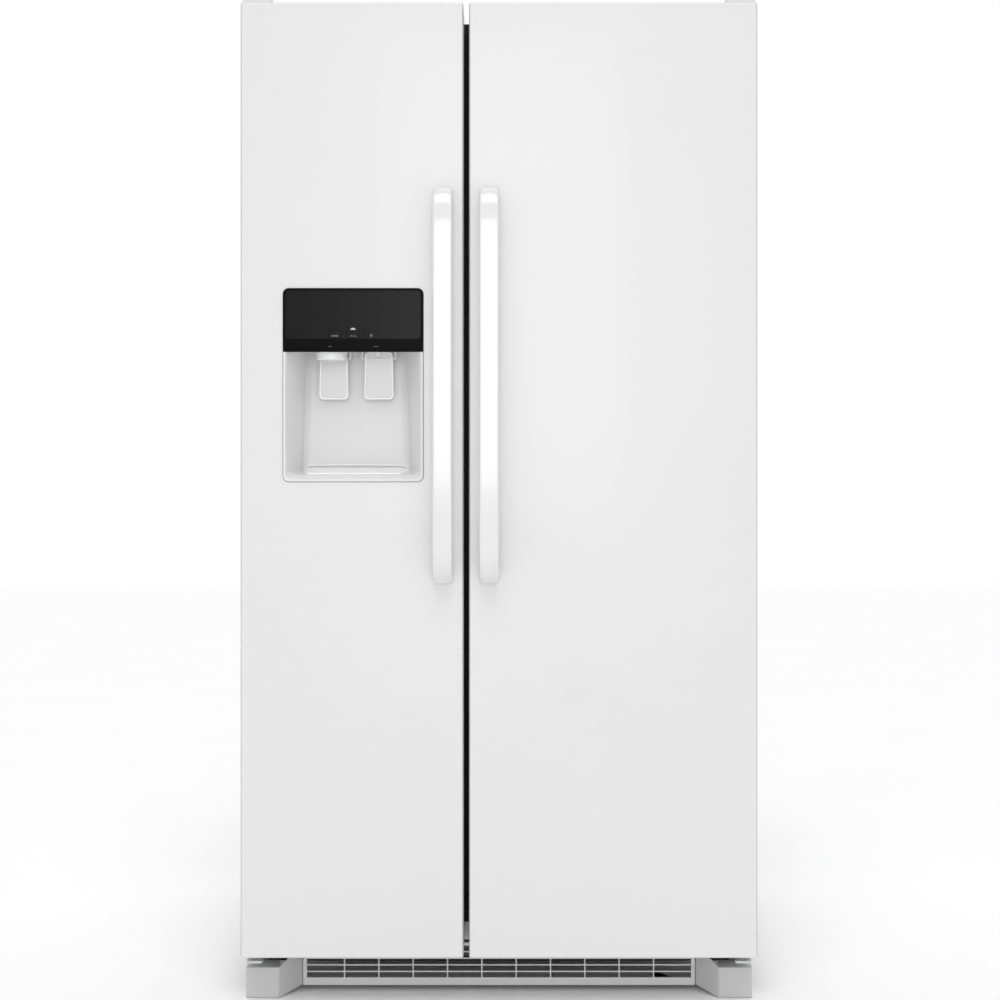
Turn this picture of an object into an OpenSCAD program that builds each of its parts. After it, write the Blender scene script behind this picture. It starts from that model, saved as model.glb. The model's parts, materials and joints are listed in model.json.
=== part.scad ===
// Side by side refrigerator with an ice and water dispenser in the freezer door.
// Frame: +Z up, the doors face -Y, +X is to the right of a person facing them.
// The origin is on the floor, under the middle of the overall box.

/* [Cabinet] */
// Width over the cabinet's sides
body_w = 908; // [902:1:914]
// Height of the cabinet's top above the floor
cabinet_top = 1756; // [1750:1:1762]
// Depth of the cabinet from its front flange to its rear screws
cabinet_depth = 731; // [728:1:736]
// Bottom edge of the cabinet's side sheets
cabinet_bottom = 60; // [58:1:62]
// Thickness of the sheet steel
skin_t = 1; // [0.8:0.1:1.2]
// Thickness of the plastic liners
liner_t = 2; // [1.5:0.5:2.5]
// Width of the wall between the two compartments
mullion_w = 50; // [48:1:52]

/* [Doors] */
// Thickness of both doors without their gaskets
door_t = 80; // [78:1:82]
// Bottom edge of the doors above the floor
door_bottom = 86; // [85:1:88]
// Height of both doors
door_h = 1679; // [1673:1:1679]
// Gap between the two doors
door_gap = 10; // [9:1:12]
// Sideways place of the middle of that gap
gap_x = -57.5; // [-59:0.5:-56]
// Thickness of a closed gasket
gasket_t = 13; // [12:0.5:13]
// Radius of the skins' front corners
door_r = 4; // [3:0.5:6]
// Distance of the hinge pins from the cabinet's sides
hinge_inset = 22; // [20:1:24]
// Radius of the hinge pins
pin_r = 5; // [4:0.5:5]

/* [Handles] */
// Distance from the door's face to the handle's front
handle_reach = 55; // [50:1:58]
// Length of each handle
handle_len = 698; // [680:1:710]
// Width of each handle
handle_w = 34; // [30:1:36]
// Height of the handles' middle above the floor
handle_z = 1092; // [1085:1:1100]
// Distance from the middle of the door gap to the middle of a handle
handle_offset = 40.5; // [39:0.5:43]

/* [Dispenser] */
// Sideways place of the dispenser's middle
disp_x = -256; // [-260:1:-252]
// Width over the dispenser's bezel
disp_w = 246; // [240:1:250]
// Height over the dispenser's bezel
disp_h = 339; // [335:1:343]
// Bottom edge of the bezel above the floor
disp_z = 923; // [918:1:928]
// Height of the black control panel at its top
panel_h = 111.5; // [108:0.5:114]
// Distance of each paddle and outlet from the dispenser's middle
outlet_dx = 40.5; // [40:0.5:42]

/* [Hidden] */
$fn = 48;

// Colours
white = [0.93, 0.93, 0.92];
liner_white = [0.96, 0.97, 0.97];
light_grey = [0.82, 0.82, 0.82];
mid_grey = [0.6, 0.6, 0.6];
black = [0.06, 0.06, 0.06];
steel = [0.7, 0.7, 0.72];
foam = [0.93, 0.87, 0.7];
clear = [0.8, 0.88, 0.9, 0.5];

// Planes of the overall box, front to back
eps = 1;
seal_gap = 1;
total_d = handle_reach + door_t + gasket_t + seal_gap + cabinet_depth;
half_w = body_w / 2;
door_y = -total_d / 2 + handle_reach;
door_back = door_y + door_t;
cab_y = door_back + gasket_t + seal_gap;
back_y = cab_y + cabinet_depth;
screw_h = 2;
panel_back_y = back_y - screw_h;
sheet_t = 1.2;

// Compartments
flange_w = 40;
pad_h = 0.4;
mullion_z0 = 125;
foam_y = cab_y + skin_t;
freezer_x0 = -half_w + 55;
freezer_x1 = gap_x - mullion_w / 2;
fridge_x0 = gap_x + mullion_w / 2;
fridge_x1 = half_w - 45;
floor_z = 150;
ceil_z = cabinet_top - 50;
inner_back_y = back_y - 60;
step_y = 160;
step_z = 370;
step_bevel = 30;
machine_y = 215;
machine_z = 318;
machine_bevel = 40;
floor_plate_z = 93;
foam_plate_z = floor_plate_z + skin_t;

// Doors
door_top = door_bottom + door_h;
cap_t = 4;
freezer_door_x1 = gap_x - door_gap / 2;
fridge_door_x0 = gap_x + door_gap / 2;
hinge_x = half_w - hinge_inset;
hinge_y = door_y + door_t / 2;
pin_clear = 0.05;
pin_depth = 24;
gasket_w = 16;
gasket_gap_inset = 3;
gasket_hinge_inset = 14;
gasket_z0 = 102;
gasket_z1 = cabinet_top - 11;
dike_w = 22;
dike_y = door_back + 50;
dike_z0 = floor_z + 15;
dike_z1 = ceil_z - 15;
fridge_dike_x0 = fridge_x0 + 15;
fridge_dike_x1 = fridge_x1 - 14;
freezer_dike_x0 = freezer_x0 + 14;
freezer_dike_x1 = freezer_x1 - 17.5;
bin_y = door_back + 100;
bin_h = 110;
bin_wall = 3;
bin_gap = 1;
bin_r = 12;
bin_back_y = door_back + 0.5;
dairy_x0 = fridge_dike_x0 + dike_w + bin_gap;
dairy_x1 = fridge_dike_x1 - dike_w - bin_gap;
fridge_bin_z = [190, 455, 725, 995, 1250];
freezer_bin_z = [190, 420, 655, 1450];
dairy_z0 = 1500;
dairy_z1 = 1640;
dairy_y = door_back + 80;

// Dispenser
disp_top = disp_z + disp_h;
disp_r = 10;
bezel_t = 2;
panel_z = disp_top - panel_h;
recess_y = door_y + 79;
recess_wall = 3;
housing_inset = 4;
housing_w = disp_w - 2 * housing_inset;
recess_r = 17;
recess_half = 76;
tray_half = 86;
tray_y0 = door_y + 15;
tray_y1 = door_y + 65;
tray_z = disp_z + 12;
tray_t = 4;
ceiling_t = 3;
chute_x = disp_x - outlet_dx;
water_x = disp_x + outlet_dx;
chute_y = door_y + 32.5;
chute_r = 26;
chute_wall = 2.5;
chute_ring_z = 1138;
paddle_w = 53.5;
paddle_z = 1071;
paddle_t = 3.5;
paddle_axis_y = door_y + 62;
paddle_axis_z = panel_z - 6;
flap_axis_y = chute_y + chute_r - chute_wall - 4;
flap_z = panel_z + 12;
bulge_y = door_back + 43;
bulge_z0 = 905;
bulge_z1 = 1405;
key_w = 24;
key_h = 13;
key_z = panel_z + 30;
key_pitch = 32;
key_gap = 0.25;
panel_face_y = door_y - 3;

// Interior fittings
shelf_front_y = cab_y + 116;
drawer_y = cab_y + 141;
drawer_t = 2.5;
rib_w = 6;
rib_h = 8;
fridge_shelf_z = [615, 880, 1140, 1400];
freezer_shelf_z = [388, 620, 860, 1110];
cover_z = 380;
shelf_t = 12;
wire_r = 2.5;
evap_cover_y = inner_back_y - 55;
fan_x = (freezer_x0 + freezer_x1) / 2;
fan_z = 830;
ice_bin_z0 = 1395;
ice_bin_z1 = 1560;
ice_bin_back_y = 200;
auger_z = 1440;
auger_r = 5;
maker_z0 = 1590;
maker_x1 = -120;
arm_z = 1598;
arm_x = maker_x1 + 7;

// Underneath and machine compartment
roller_r = 20;
roller_w = 20;
roller_x = 433.5;
axle_r = 4;
front_roller_y = -205;
front_roller_z = roller_r + 1.5;
rear_roller_y = 385;
leg_x = 427;
leg_y = -268;
leg_r = 5;
nut_h = 24;
rail_y = leg_y - 16;
rail_back_y = panel_back_y - 4;
plate_t = 3;
baffle_y = -150;
baffle_z = 12;
kick_y = cab_y + 1;
kick_half = 356;
kick_z0 = 9;
kick_z1 = 87;
foot_front_y = door_y + 50;
foot_front_x = 391;
foot_z0 = 1;
foot_top_z = 54.8;
foot_outer_x = half_w - 1;
foot_back_y = cab_y;
foot_wing_w = 8;
foot_wall = 2.5;
lead_x = 400;
lead_z = 96;
inlet_x = -392;
inlet_r = 5.55;
cond_fan_x = 68;
cond_fan_y = 332;
cond_fan_z = 178;
arc_n = 6;

// Helpers
module block(lo, hi) translate(lo) cube(hi - lo);
module both_sides() {
    children();
    mirror([1, 0, 0]) children();
}
module along_x(x0, x1) translate([x0, 0, 0]) rotate([90, 0, 90]) linear_extrude(x1 - x0) children();
module along_y(y0, y1) translate([0, y1, 0]) rotate([90, 0, 0]) linear_extrude(y1 - y0) children();
module along_z(z0, z1) translate([0, 0, z0]) linear_extrude(z1 - z0) children();
module rod_x(x0, x1, y, z, r) translate([x0, y, z]) rotate([0, 90, 0]) cylinder(r = r, h = x1 - x0);
module rod_y(y0, y1, x, z, r) translate([x, y1, z]) rotate([90, 0, 0]) cylinder(r = r, h = y1 - y0);
function arc(c, r, a0, a1) =
    [for (i = [0:arc_n]) let (a = a0 + (a1 - a0) * i / arc_n) c + r * [cos(a), sin(a)]];
function rounded_rect(lo, hi, r) = concat(
    arc([hi[0] - r, hi[1] - r], r, 0, 90), arc([lo[0] + r, hi[1] - r], r, 90, 180),
    arc([lo[0] + r, lo[1] + r], r, 180, 270), arc([hi[0] - r, lo[1] + r], r, 270, 360));
// An outline whose two corners at low y are round
function front_rounded(lo, hi, r) = concat(
    [[hi[0], hi[1]], [lo[0], hi[1]]],
    arc([lo[0] + r, lo[1] + r], r, 180, 270), arc([hi[0] - r, lo[1] + r], r, 270, 360));
// A flat rectangular frame
module ring(x0, x1, z0, z1, w) difference() {
    translate([x0, z0]) square([x1 - x0, z1 - z0]);
    translate([x0 + w, z0 + w]) square([x1 - x0 - 2 * w, z1 - z0 - 2 * w]);
}
// A drawer or tray, open at its top
module tray(lo, hi, t) difference() {
    block(lo, hi);
    block(lo + [t, t, t], [hi[0] - t, hi[1] - t, hi[2] + eps]);
}

// Cabinet: the compartments' side outline, grown by o into the walls
function cavity_outline(y0, o) = [
    [y0, floor_z - o], [step_y + o, floor_z - o], [step_y + o, step_z - step_bevel],
    [step_y + step_bevel, step_z - o], [inner_back_y + o, step_z - o],
    [inner_back_y + o, ceil_z + o], [y0, ceil_z + o]];
module cavity(x0, x1, y0, o) along_x(x0 - o, x1 + o) polygon(cavity_outline(y0, o));

module cabinet_wrap() color(white) difference() {
    union() {
        cabinet_sheet();
        difference() {
            block([flange_w - half_w, cab_y, floor_plate_z],
                [half_w - flange_w, foam_y, floor_z - liner_t]);
            block([freezer_x1 + liner_t, cab_y - eps, mullion_z0 - 0.5],
                [fridge_x0 - liner_t, foam_y + eps, floor_z]);
        }
    }
    // shallow pads under the upper hinges
    both_sides() block([half_w - 55, cab_y - eps, cabinet_top - pad_h],
        [half_w + eps, cab_y + 67, cabinet_top + eps]);
}
module cabinet_sheet() difference() {
    block([-half_w, cab_y, cabinet_bottom], [half_w, panel_back_y, cabinet_top]);
    block([skin_t - half_w, foam_y, cabinet_bottom - eps],
        [half_w - skin_t, back_y, cabinet_top - skin_t]);
    block([flange_w - half_w, cab_y - eps, cabinet_bottom - eps],
        [half_w - flange_w, foam_y + eps, cabinet_top - flange_w]);
    block([fridge_x0 - mullion_w + liner_t, cab_y - eps, floor_z],
        [fridge_x0 - liner_t, foam_y, cabinet_top - skin_t]);
}
module insulation() color(foam) difference() {
    block([skin_t - half_w, foam_y, foam_plate_z],
        [half_w - skin_t, panel_back_y - sheet_t, cabinet_top - skin_t]);
    cavity(freezer_x0, freezer_x1, cab_y - eps, liner_t);
    cavity(fridge_x0, fridge_x1, cab_y - eps, liner_t);
    along_x(-half_w, half_w) polygon([
        [machine_y, 0], [back_y, 0], [back_y, machine_z],
        [machine_y + machine_bevel, machine_z], [machine_y, machine_z - machine_bevel]]);
}
// A compartment liner with its front lip and the ledges that carry its shelves
module liner(x0, x1, lip_x0, lip_x1, rib_z, rib_back_y) {
    difference() {
        union() {
            cavity(x0, x1, foam_y, liner_t);
            block([lip_x0, cab_y, floor_z - liner_t], [lip_x1, foam_y, cabinet_top - flange_w]);
        }
        cavity(x0, x1, cab_y - eps, 0);
    }
    for (z = rib_z) {
        block([x0, shelf_front_y, z - rib_h], [x0 + rib_w, rib_back_y, z]);
        block([x1 - rib_w, shelf_front_y, z - rib_h], [x1, rib_back_y, z]);
    }
}
module freezer_liner() color(liner_white)
    liner(freezer_x0, freezer_x1, flange_w - half_w, freezer_x1 + liner_t,
        concat(freezer_shelf_z, [ice_bin_z0 - 1]), evap_cover_y - 5);
module fridge_liner() color(liner_white)
    liner(fridge_x0, fridge_x1, fridge_x0 - liner_t, half_w - flange_w,
        concat(fridge_shelf_z, [cover_z]), inner_back_y - 5);
module mullion_cover() color(black) {
    block([freezer_x1 + liner_t, cab_y, mullion_z0], [fridge_x0 - liner_t, foam_y, cabinet_top - skin_t]);
}
module rear_panel() color(steel) difference() {
    block([-half_w + skin_t, panel_back_y - sheet_t, machine_z + 2],
        [half_w - skin_t, panel_back_y, cabinet_top - skin_t]);
    // two pressed beads stiffen the sheet
    for (x = [-220, 220])
        along_z(420, 1660) polygon([
            [x - 8, panel_back_y + eps], [x - 8, panel_back_y],
            [x, panel_back_y - 0.7], [x + 8, panel_back_y], [x + 8, panel_back_y + eps]]);
}

// Base: rails, floor plates, leg bosses and roller brackets
module roller_bracket(y, z) {
    for (x = [roller_x - roller_w / 2 - 4, roller_x + roller_w / 2 + 2])
        block([x, y - 20, z - 9], [x + 2, y + 20, cabinet_bottom + plate_t]);
    rod_x(roller_x - roller_w / 2 - 4, roller_x + roller_w / 2 + 4, y, z, axle_r);
}
module base_frame() color(black) {
    difference() {
        union() {
            block([skin_t - half_w, foam_y, floor_plate_z],
                [half_w - skin_t, machine_y - 1, foam_plate_z]);
            block([skin_t - half_w, rail_y, cabinet_bottom],
                [half_w - skin_t, rail_y + plate_t, floor_plate_z]);
            block([skin_t - half_w, rail_y, cabinet_bottom],
                [half_w - skin_t, leg_y + 16, cabinet_bottom + plate_t]);
            // air baffle between the intake and the machine compartment
            block([skin_t - half_w, baffle_y, baffle_z], [half_w - skin_t, baffle_y + 2, floor_plate_z]);
            block([skin_t - half_w, machine_y, cabinet_bottom],
                [half_w - skin_t, rail_back_y, cabinet_bottom + plate_t]);
            both_sides() {
                block([half_w - skin_t - plate_t, rail_y, cabinet_bottom],
                    [half_w - skin_t, rail_back_y, floor_plate_z]);
                block([roller_x - 16, rail_y, cabinet_bottom],
                    [half_w - skin_t, rail_back_y, cabinet_bottom + plate_t]);
                translate([leg_x, leg_y, cabinet_bottom]) cylinder(r = 9, h = nut_h);
                roller_bracket(front_roller_y, front_roller_z);
                roller_bracket(rear_roller_y, roller_r);
            }
        }
        both_sides() translate([leg_x, leg_y, cabinet_bottom - eps])
            cylinder(r = leg_r + pin_clear, h = nut_h + 2 * eps);
    }
}
module rollers(y, z) color(black) both_sides() difference() {
    union() {
        rod_x(roller_x - roller_w / 2, roller_x + roller_w / 2, y, z, roller_r - 1);
        rod_x(roller_x - roller_w / 2 + 2, roller_x + roller_w / 2 - 2, y, z, roller_r);
    }
    rod_x(roller_x - roller_w, roller_x + roller_w, y, z, axle_r + pin_clear);
}
module front_rollers() rollers(front_roller_y, front_roller_z);
module rear_rollers() rollers(rear_roller_y, roller_r);
module leveling_leg() color(steel) {
    translate([leg_x, leg_y, 0]) cylinder(r = 16, h = 5);
    translate([leg_x, leg_y, 5]) cylinder(r = 10, h = 10, $fn = 6);
    translate([leg_x, leg_y, 15]) cylinder(r = leg_r, h = 73);
}
module leveling_leg_right() leveling_leg();
module leveling_leg_left() mirror([1, 0, 0]) leveling_leg();

// Kick plate: rows of slots between upright dividers, and a returned top edge
module kick_plate() color(mid_grey) {
    slot_pitch = 62.4;
    divider_w = 2.4;
    row_z0 = 23;
    row_pitch = 12;
    row_h = 9.6;
    last = 5;
    difference() {
        block([-kick_half, kick_y, kick_z0], [kick_half, kick_y + plate_t, kick_z1]);
        for (column = [-last:last], row = [0:4]) {
            // the outermost slots are longer and end near the foot covers
            x0 = column == -last ? 7 - kick_half : (column - 0.5) * slot_pitch + divider_w / 2;
            x1 = column == last ? kick_half - 7 : (column + 0.5) * slot_pitch - divider_w / 2;
            block([x0, kick_y - eps, row_z0 + row * row_pitch],
                [x1, kick_y + plate_t + eps, row_z0 + row * row_pitch + row_h]);
        }
    }
    block([-kick_half, kick_y, kick_z1 - plate_t], [kick_half, rail_y, kick_z1]);
}
// Foot cover: a low block in front of each foot, whose inner wing rises back to the kick plate
module foot_solid(t) {
    low = foot_z0 - t;
    high = foot_top_z - t;
    wing_x = foot_front_x + foot_wing_w;
    hull() {
        block([foot_front_x + t, foot_front_y + t, low], [foot_outer_x - t, cab_y - 6, high]);
        block([foot_front_x + 22, foot_back_y, low], [foot_outer_x - t, foot_back_y, high] + [0, 4, 0]);
    }
    hull() {
        block([foot_front_x + t, foot_front_y + t, low], [wing_x, foot_front_y + foot_wing_w, high]);
        // the wing's lower edge rises to the kick plate, and the hollow reaches past it
        block([kick_half + 1 + t, cab_y, kick_z0 - 10 * t], [wing_x, foot_back_y + 4, kick_z1 - 5 - t]);
    }
}
module foot_covers() color(mid_grey) both_sides() difference() {
    foot_solid(0);
    translate([0, 1, 0]) foot_solid(foot_wall);
}

// Hinges: the upper and lower brackets carry the door pins
module hinge_brackets() color(steel) both_sides() {
    plate_z = 71.5;
    plate_top = plate_z + 4.5;
    pin_top = door_bottom + pin_depth - 4;
    upper_z = door_top + 1.5;
    upper_pin_z = door_top - pin_depth + 4;
    along_z(plate_z, plate_top)
        polygon(front_rounded([half_w - 37, hinge_y - 22], [half_w - 7, cab_y], 7));
    block([half_w - 50, cab_y - 4, plate_z], [half_w - 1, cab_y, floor_plate_z - 1]);
    translate([hinge_x, hinge_y, plate_top]) cylinder(r = pin_r, h = pin_top - plate_top);
    translate([hinge_x, hinge_y, plate_top]) cylinder(r = 9, h = door_bottom - 0.5 - plate_top);
    block([half_w - 44, hinge_y - 17, upper_z], [half_w - 6, cab_y + 56, upper_z + 3.5]);
    block([half_w - 44, cab_y + 5, cabinet_top - pad_h], [half_w - 6, cab_y + 56, upper_z]);
    translate([hinge_x, hinge_y, upper_pin_z]) cylinder(r = pin_r, h = upper_z - upper_pin_z);
}
module hinge_covers() color(white) both_sides() {
    top = door_top + 10;
    difference() {
        union() {
            along_z(door_top + 1.2, top)
                polygon(rounded_rect([half_w - 54, hinge_y - 30], [half_w - 1, cab_y + 66], 6));
            block([half_w - 54, cab_y + 2, cabinet_top - pad_h], [half_w - 1, cab_y + 60, door_top + 2]);
        }
        along_z(cabinet_top - 2 * eps, top - 1.8)
            polygon(rounded_rect([half_w - 52, hinge_y - 28], [half_w - 3, cab_y + 64], 5));
    }
}
module screw_back(x, z) rod_y(panel_back_y, back_y, x, z, 4.5);
module screw_up(x, y, z, h) translate([x, y, z]) cylinder(r = 4.5, h = h);
module cabinet_screws() color(steel) {
    both_sides() {
        for (z = [345, 690, 1035, 1380, 1725]) screw_back(half_w - 8, z);
        screw_back(half_w - 30, machine_z - 14);
        screw_back(half_w - 30, 82);
        for (y = [cab_y + 15, cab_y + 45]) screw_up(half_w - 34, y, door_top + 5, 2.5);
        screw_up(half_w - 16, cab_y + 30, door_top + 5, 2.5);
        for (z = [77.5, 86]) rod_y(cab_y - 6.5, cab_y - 4, half_w - 45, z, 3);
    }
    for (x = [-220, 0, 220]) screw_back(x, cabinet_top - 14);
}

// Machine compartment
module machine_cover() color(steel) {
    cover_y = panel_back_y - 0.5;
    difference() {
        block([-half_w + 4, cover_y - sheet_t, 66], [half_w - 4, cover_y, machine_z]);
        for (column = [-1:1], row = [0:7], half = [-1, 1])
            block([column * 240 + half * 52 - 44, cover_y - 5, 120 + row * 20],
                [column * 240 + half * 52 + 44, cover_y + eps, 127 + row * 20]);
        block([inlet_x - 20, cover_y - 5, 78], [inlet_x + 20, cover_y + eps, 114]);
        rod_y(cover_y - 5, cover_y + eps, lead_x, lead_z, 9);
    }
    // bush round the power lead's way out
    difference() {
        rod_y(cover_y - 6, cover_y + 1, lead_x, lead_z, 11);
        rod_y(cover_y - 7, cover_y + 2, lead_x, lead_z, 6);
        difference() {
            rod_y(cover_y - sheet_t, cover_y, lead_x, lead_z, 12);
            rod_y(cover_y - 3, cover_y + 1, lead_x, lead_z, 9);
        }
    }
}
module compressor() color(black) {
    x = -190;
    y = 328;
    translate([x, y, 0]) rotate_extrude() polygon(concat(
        [[0, 82], [66, 82], [80, 94], [80, 190]], [for (a = [15:15:75]) [80 * cos(a), 190 + 52 * sin(a)]],
        [[0, 242]]));
    block([x - 95, y - 50, 80], [x + 95, y + 50, 84]);
    for (dx = [-82, 82], dy = [-38, 38])
        translate([x + dx, y + dy, cabinet_bottom + plate_t])
            cylinder(r = 12, h = 82 - cabinet_bottom - plate_t);
    block([x + 60, y - 30, 120], [x + 108, y + 30, 185]);
    for (dy = [-15, 15]) translate([x - 20, y + dy, 225]) cylinder(r = 4, h = 60);
}
module condenser() color(black) {
    difference() {
        block([cond_fan_x - 14, 236, 90], [cond_fan_x - 11, 428, 292]);
        rod_x(cond_fan_x - 20, cond_fan_x, cond_fan_y, cond_fan_z, 72);
    }
    block([cond_fan_x - 18, 240, cond_fan_z - 6], [cond_fan_x - 14, 424, cond_fan_z + 6]);
    rod_x(cond_fan_x - 48, cond_fan_x - 18, cond_fan_y, cond_fan_z, 24);
    rod_x(cond_fan_x - 18, cond_fan_x + 9, cond_fan_y, cond_fan_z, 3);
    for (i = [0:15]) block([120 + i * 18, 250, 98], [121.2 + i * 18, 420, 250]);
    for (z = [112:30:232], y = [275, 315, 355, 395])
        translate([110, y, z]) rotate([0, 90, 0]) cylinder(r = 4, h = 292, $fn = 8);
    for (x = [112, 396], y = [250, 418]) block([x, y, 84], [x + 2, y + 2, 110]);
}
module condenser_fan() color(black) difference() {
    union() {
        rod_x(cond_fan_x - 6, cond_fan_x + 12, cond_fan_y, cond_fan_z, 16);
        for (i = [0:4]) translate([cond_fan_x + 3, cond_fan_y, cond_fan_z]) rotate([i * 72, 0, 0])
            rotate([0, 0, 30]) translate([-1.2, -16, 12]) cube([2.4, 32, 54]);
    }
    rod_x(cond_fan_x - 10, cond_fan_x + 9.5, cond_fan_y, cond_fan_z, 3 + pin_clear);
}
module drain_pan() color(black) tray([96, 240, cabinet_bottom + plate_t], [416, 430, 84], 2);
module water_valve() color(light_grey) {
    block([inlet_x - 18, 390, 80], [inlet_x + 18, 424, 112]);
    rod_y(424, panel_back_y - 1, inlet_x, lead_z, inlet_r);
    block([inlet_x - 8, 396, 112], [inlet_x + 8, 418, 140]);
    block([inlet_x - 18, 384, cabinet_bottom + plate_t], [inlet_x + 18, 390, 112]);
}

// Freezer fittings
module evaporator_coil() color(steel) {
    for (i = [0:19]) block([freezer_x0 + 24 + i * 14, evap_cover_y + 14, 400],
        [freezer_x0 + 25 + i * 14, inner_back_y - 4, 690]);
    for (row = [0:8], y = [evap_cover_y + 24, inner_back_y - 14])
        translate([freezer_x0 + 12, y, 416 + row * 32])
            rotate([0, 90, 0]) cylinder(r = 4, h = 292, $fn = 8);
}
module evaporator_cover() color(liner_white) difference() {
    union() {
        block([freezer_x0 + 1, evap_cover_y, step_z + 1], [freezer_x1 - 1, evap_cover_y + 3, 1110]);
        for (x = [freezer_x0 + 1, freezer_x1 - 4])
            block([x, evap_cover_y + 3, step_z + 1], [x + 3, inner_back_y, 1110]);
        rod_y(inner_back_y - 14, inner_back_y, fan_x, fan_z, 20);
        rod_y(evap_cover_y + 12, inner_back_y - 14, fan_x, fan_z, 2.5);
    }
    for (i = [-4:4]) block([fan_x + i * 28 - 10, evap_cover_y - eps, 400],
        [fan_x + i * 28 + 10, evap_cover_y + 4, 412]);
    difference() {
        rod_y(evap_cover_y - eps, evap_cover_y + 4, fan_x, fan_z, 48);
        for (i = [-4:4]) block([fan_x + i * 11 - 1.5, evap_cover_y - 2, fan_z - 50],
            [fan_x + i * 11 + 1.5, evap_cover_y + 5, fan_z + 50]);
        block([fan_x - 50, evap_cover_y - 2, fan_z - 2], [fan_x + 50, evap_cover_y + 5, fan_z + 2]);
    }
}
module evaporator_fan() color(white) difference() {
    union() {
        rod_y(evap_cover_y + 14, evap_cover_y + 30, fan_x, fan_z, 14);
        for (i = [0:4]) translate([fan_x, evap_cover_y + 22, fan_z]) rotate([0, i * 72, 0])
            rotate([0, 0, 30]) translate([-13, -1, 10]) cube([26, 2, 36]);
    }
    rod_y(evap_cover_y + 13, evap_cover_y + 31, fan_x, fan_z, 2.5 + pin_clear);
}
// A wire shelf that rests on the liner's ledges
module wire_shelf(z) {
    x0 = freezer_x0 + 2;
    x1 = freezer_x1 - 2;
    back = evap_cover_y - 8;
    for (y = [shelf_front_y + 4, -10, 150, back - 4])
        translate([x0, y, z + wire_r]) rotate([0, 90, 0]) cylinder(r = wire_r, h = x1 - x0, $fn = 8);
    for (i = [0:14]) translate([x0 + 8 + i * (x1 - x0 - 16) / 14, shelf_front_y, z + 3 * wire_r])
        rotate([-90, 0, 0]) cylinder(r = wire_r - 0.7, h = back - shelf_front_y, $fn = 8);
}
module freezer_shelves() color(white) for (z = freezer_shelf_z) wire_shelf(z);
module freezer_basket() color(white) {
    lo = [freezer_x0 + 10, drawer_y + 8, floor_z + 1];
    hi = [freezer_x1 - 10, 150, 345];
    tray(lo, hi, drawer_t);
    block([lo[0], drawer_y, hi[2] - 24], [hi[0], lo[1], hi[2]]);
}
module ice_maker() color(light_grey) {
    x0 = freezer_x0 + 40;
    difference() {
        block([x0, 30, maker_z0 + 12], [maker_x1, 300, ceil_z - 26]);
        for (i = [0:6]) block([x0 + 14, 44 + i * 35, maker_z0 + 40],
            [maker_x1 - 50, 72 + i * 35, ceil_z - 20]);
    }
    block([x0 - 2, -10, maker_z0 + 4], [maker_x1 + 2, 30, ceil_z - 20]);
    for (y = [60, 270]) block([x0 + 30, y - 14, ceil_z - 26], [maker_x1 - 30, y + 14, ceil_z]);
    difference() {
        block([maker_x1, 60, arm_z - 6], [maker_x1 + 12, 70, maker_z0 + 30]);
        rod_y(59, 71, arm_x, arm_z, 2 + pin_clear);
    }
    difference() {
        block([maker_x1, 250, arm_z - 6], [maker_x1 + 12, 260, maker_z0 + 30]);
        rod_y(249, 261, arm_x, arm_z, 2 + pin_clear);
    }
}
module shutoff_arm() color(steel) {
    rod_y(56, 264, arm_x, arm_z, 2);
    for (y = [80, 240]) translate([arm_x, y, arm_z - 26]) cylinder(r = 1.6, h = 26);
    rod_y(78, 242, arm_x, arm_z - 26, 2);
}
module ice_bin() color(clear) {
    lo = [freezer_x0 + 8, drawer_y + 8, ice_bin_z0];
    hi = [freezer_x1 - 8, ice_bin_back_y, ice_bin_z1];
    difference() {
        tray(lo, hi, 3);
        rod_y(lo[1] - eps, lo[1] + 4, fan_x, auger_z, auger_r + pin_clear);
        rod_y(hi[1] - 4, hi[1] + eps, fan_x, auger_z, auger_r + pin_clear);
        block([chute_x - 26, lo[1] + 6, lo[2] - eps], [chute_x + 26, lo[1] + 50, lo[2] + 4]);
    }
    block([lo[0], drawer_y, hi[2] - 26], [hi[0], lo[1], hi[2]]);
}
module ice_auger() color(steel) {
    start = drawer_y + 9;
    rod_y(start, ice_bin_back_y + 12, fan_x, auger_z, auger_r);
    // paddles set out along a helix push the ice forward
    for (i = [0:10]) translate([fan_x, start + 20 + i * 29, auger_z]) rotate([0, i * 60, 0])
        translate([-30, -3, -1]) cube([60, 6, 3]);
    rod_y(ice_bin_back_y + 4, ice_bin_back_y + 12, fan_x, auger_z, 14);
}

// Fridge fittings
module glass_shelves() color(clear) {
    x0 = fridge_x0 + 2;
    x1 = fridge_x1 - 2;
    for (z = fridge_shelf_z) {
        difference() {
            block([x0, shelf_front_y, z], [x1, 335, z + shelf_t]);
            block([x0 + 14, shelf_front_y + 14, z - eps], [x1 - 14, 321, z + shelf_t + eps]);
        }
        block([x0 + 14, shelf_front_y + 14, z + 7], [x1 - 14, 321, z + 11]);
    }
    block([x0, shelf_front_y, cover_z], [x1, inner_back_y - 2, cover_z + 8]);
}
module crisper(z0, z1, back) color(clear) {
    lo = [fridge_x0 + 9, drawer_y + 8, z0];
    hi = [fridge_x1 - 9, back, z1];
    tray(lo, hi, drawer_t);
    block([lo[0], drawer_y, z1 - 26], [hi[0], lo[1], z1]);
}
module crisper_upper() crisper(cover_z + 8.5, 598, 320);
module crisper_lower() crisper(floor_z + 0.5, 366, 150);
module air_tower() color(liner_white) difference() {
    block([150, inner_back_y - 26, 660], [240, inner_back_y, 1640]);
    for (i = [0:7]) block([160, inner_back_y - 27, 720 + i * 110], [230, inner_back_y - 18, 732 + i * 110]);
}
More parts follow.
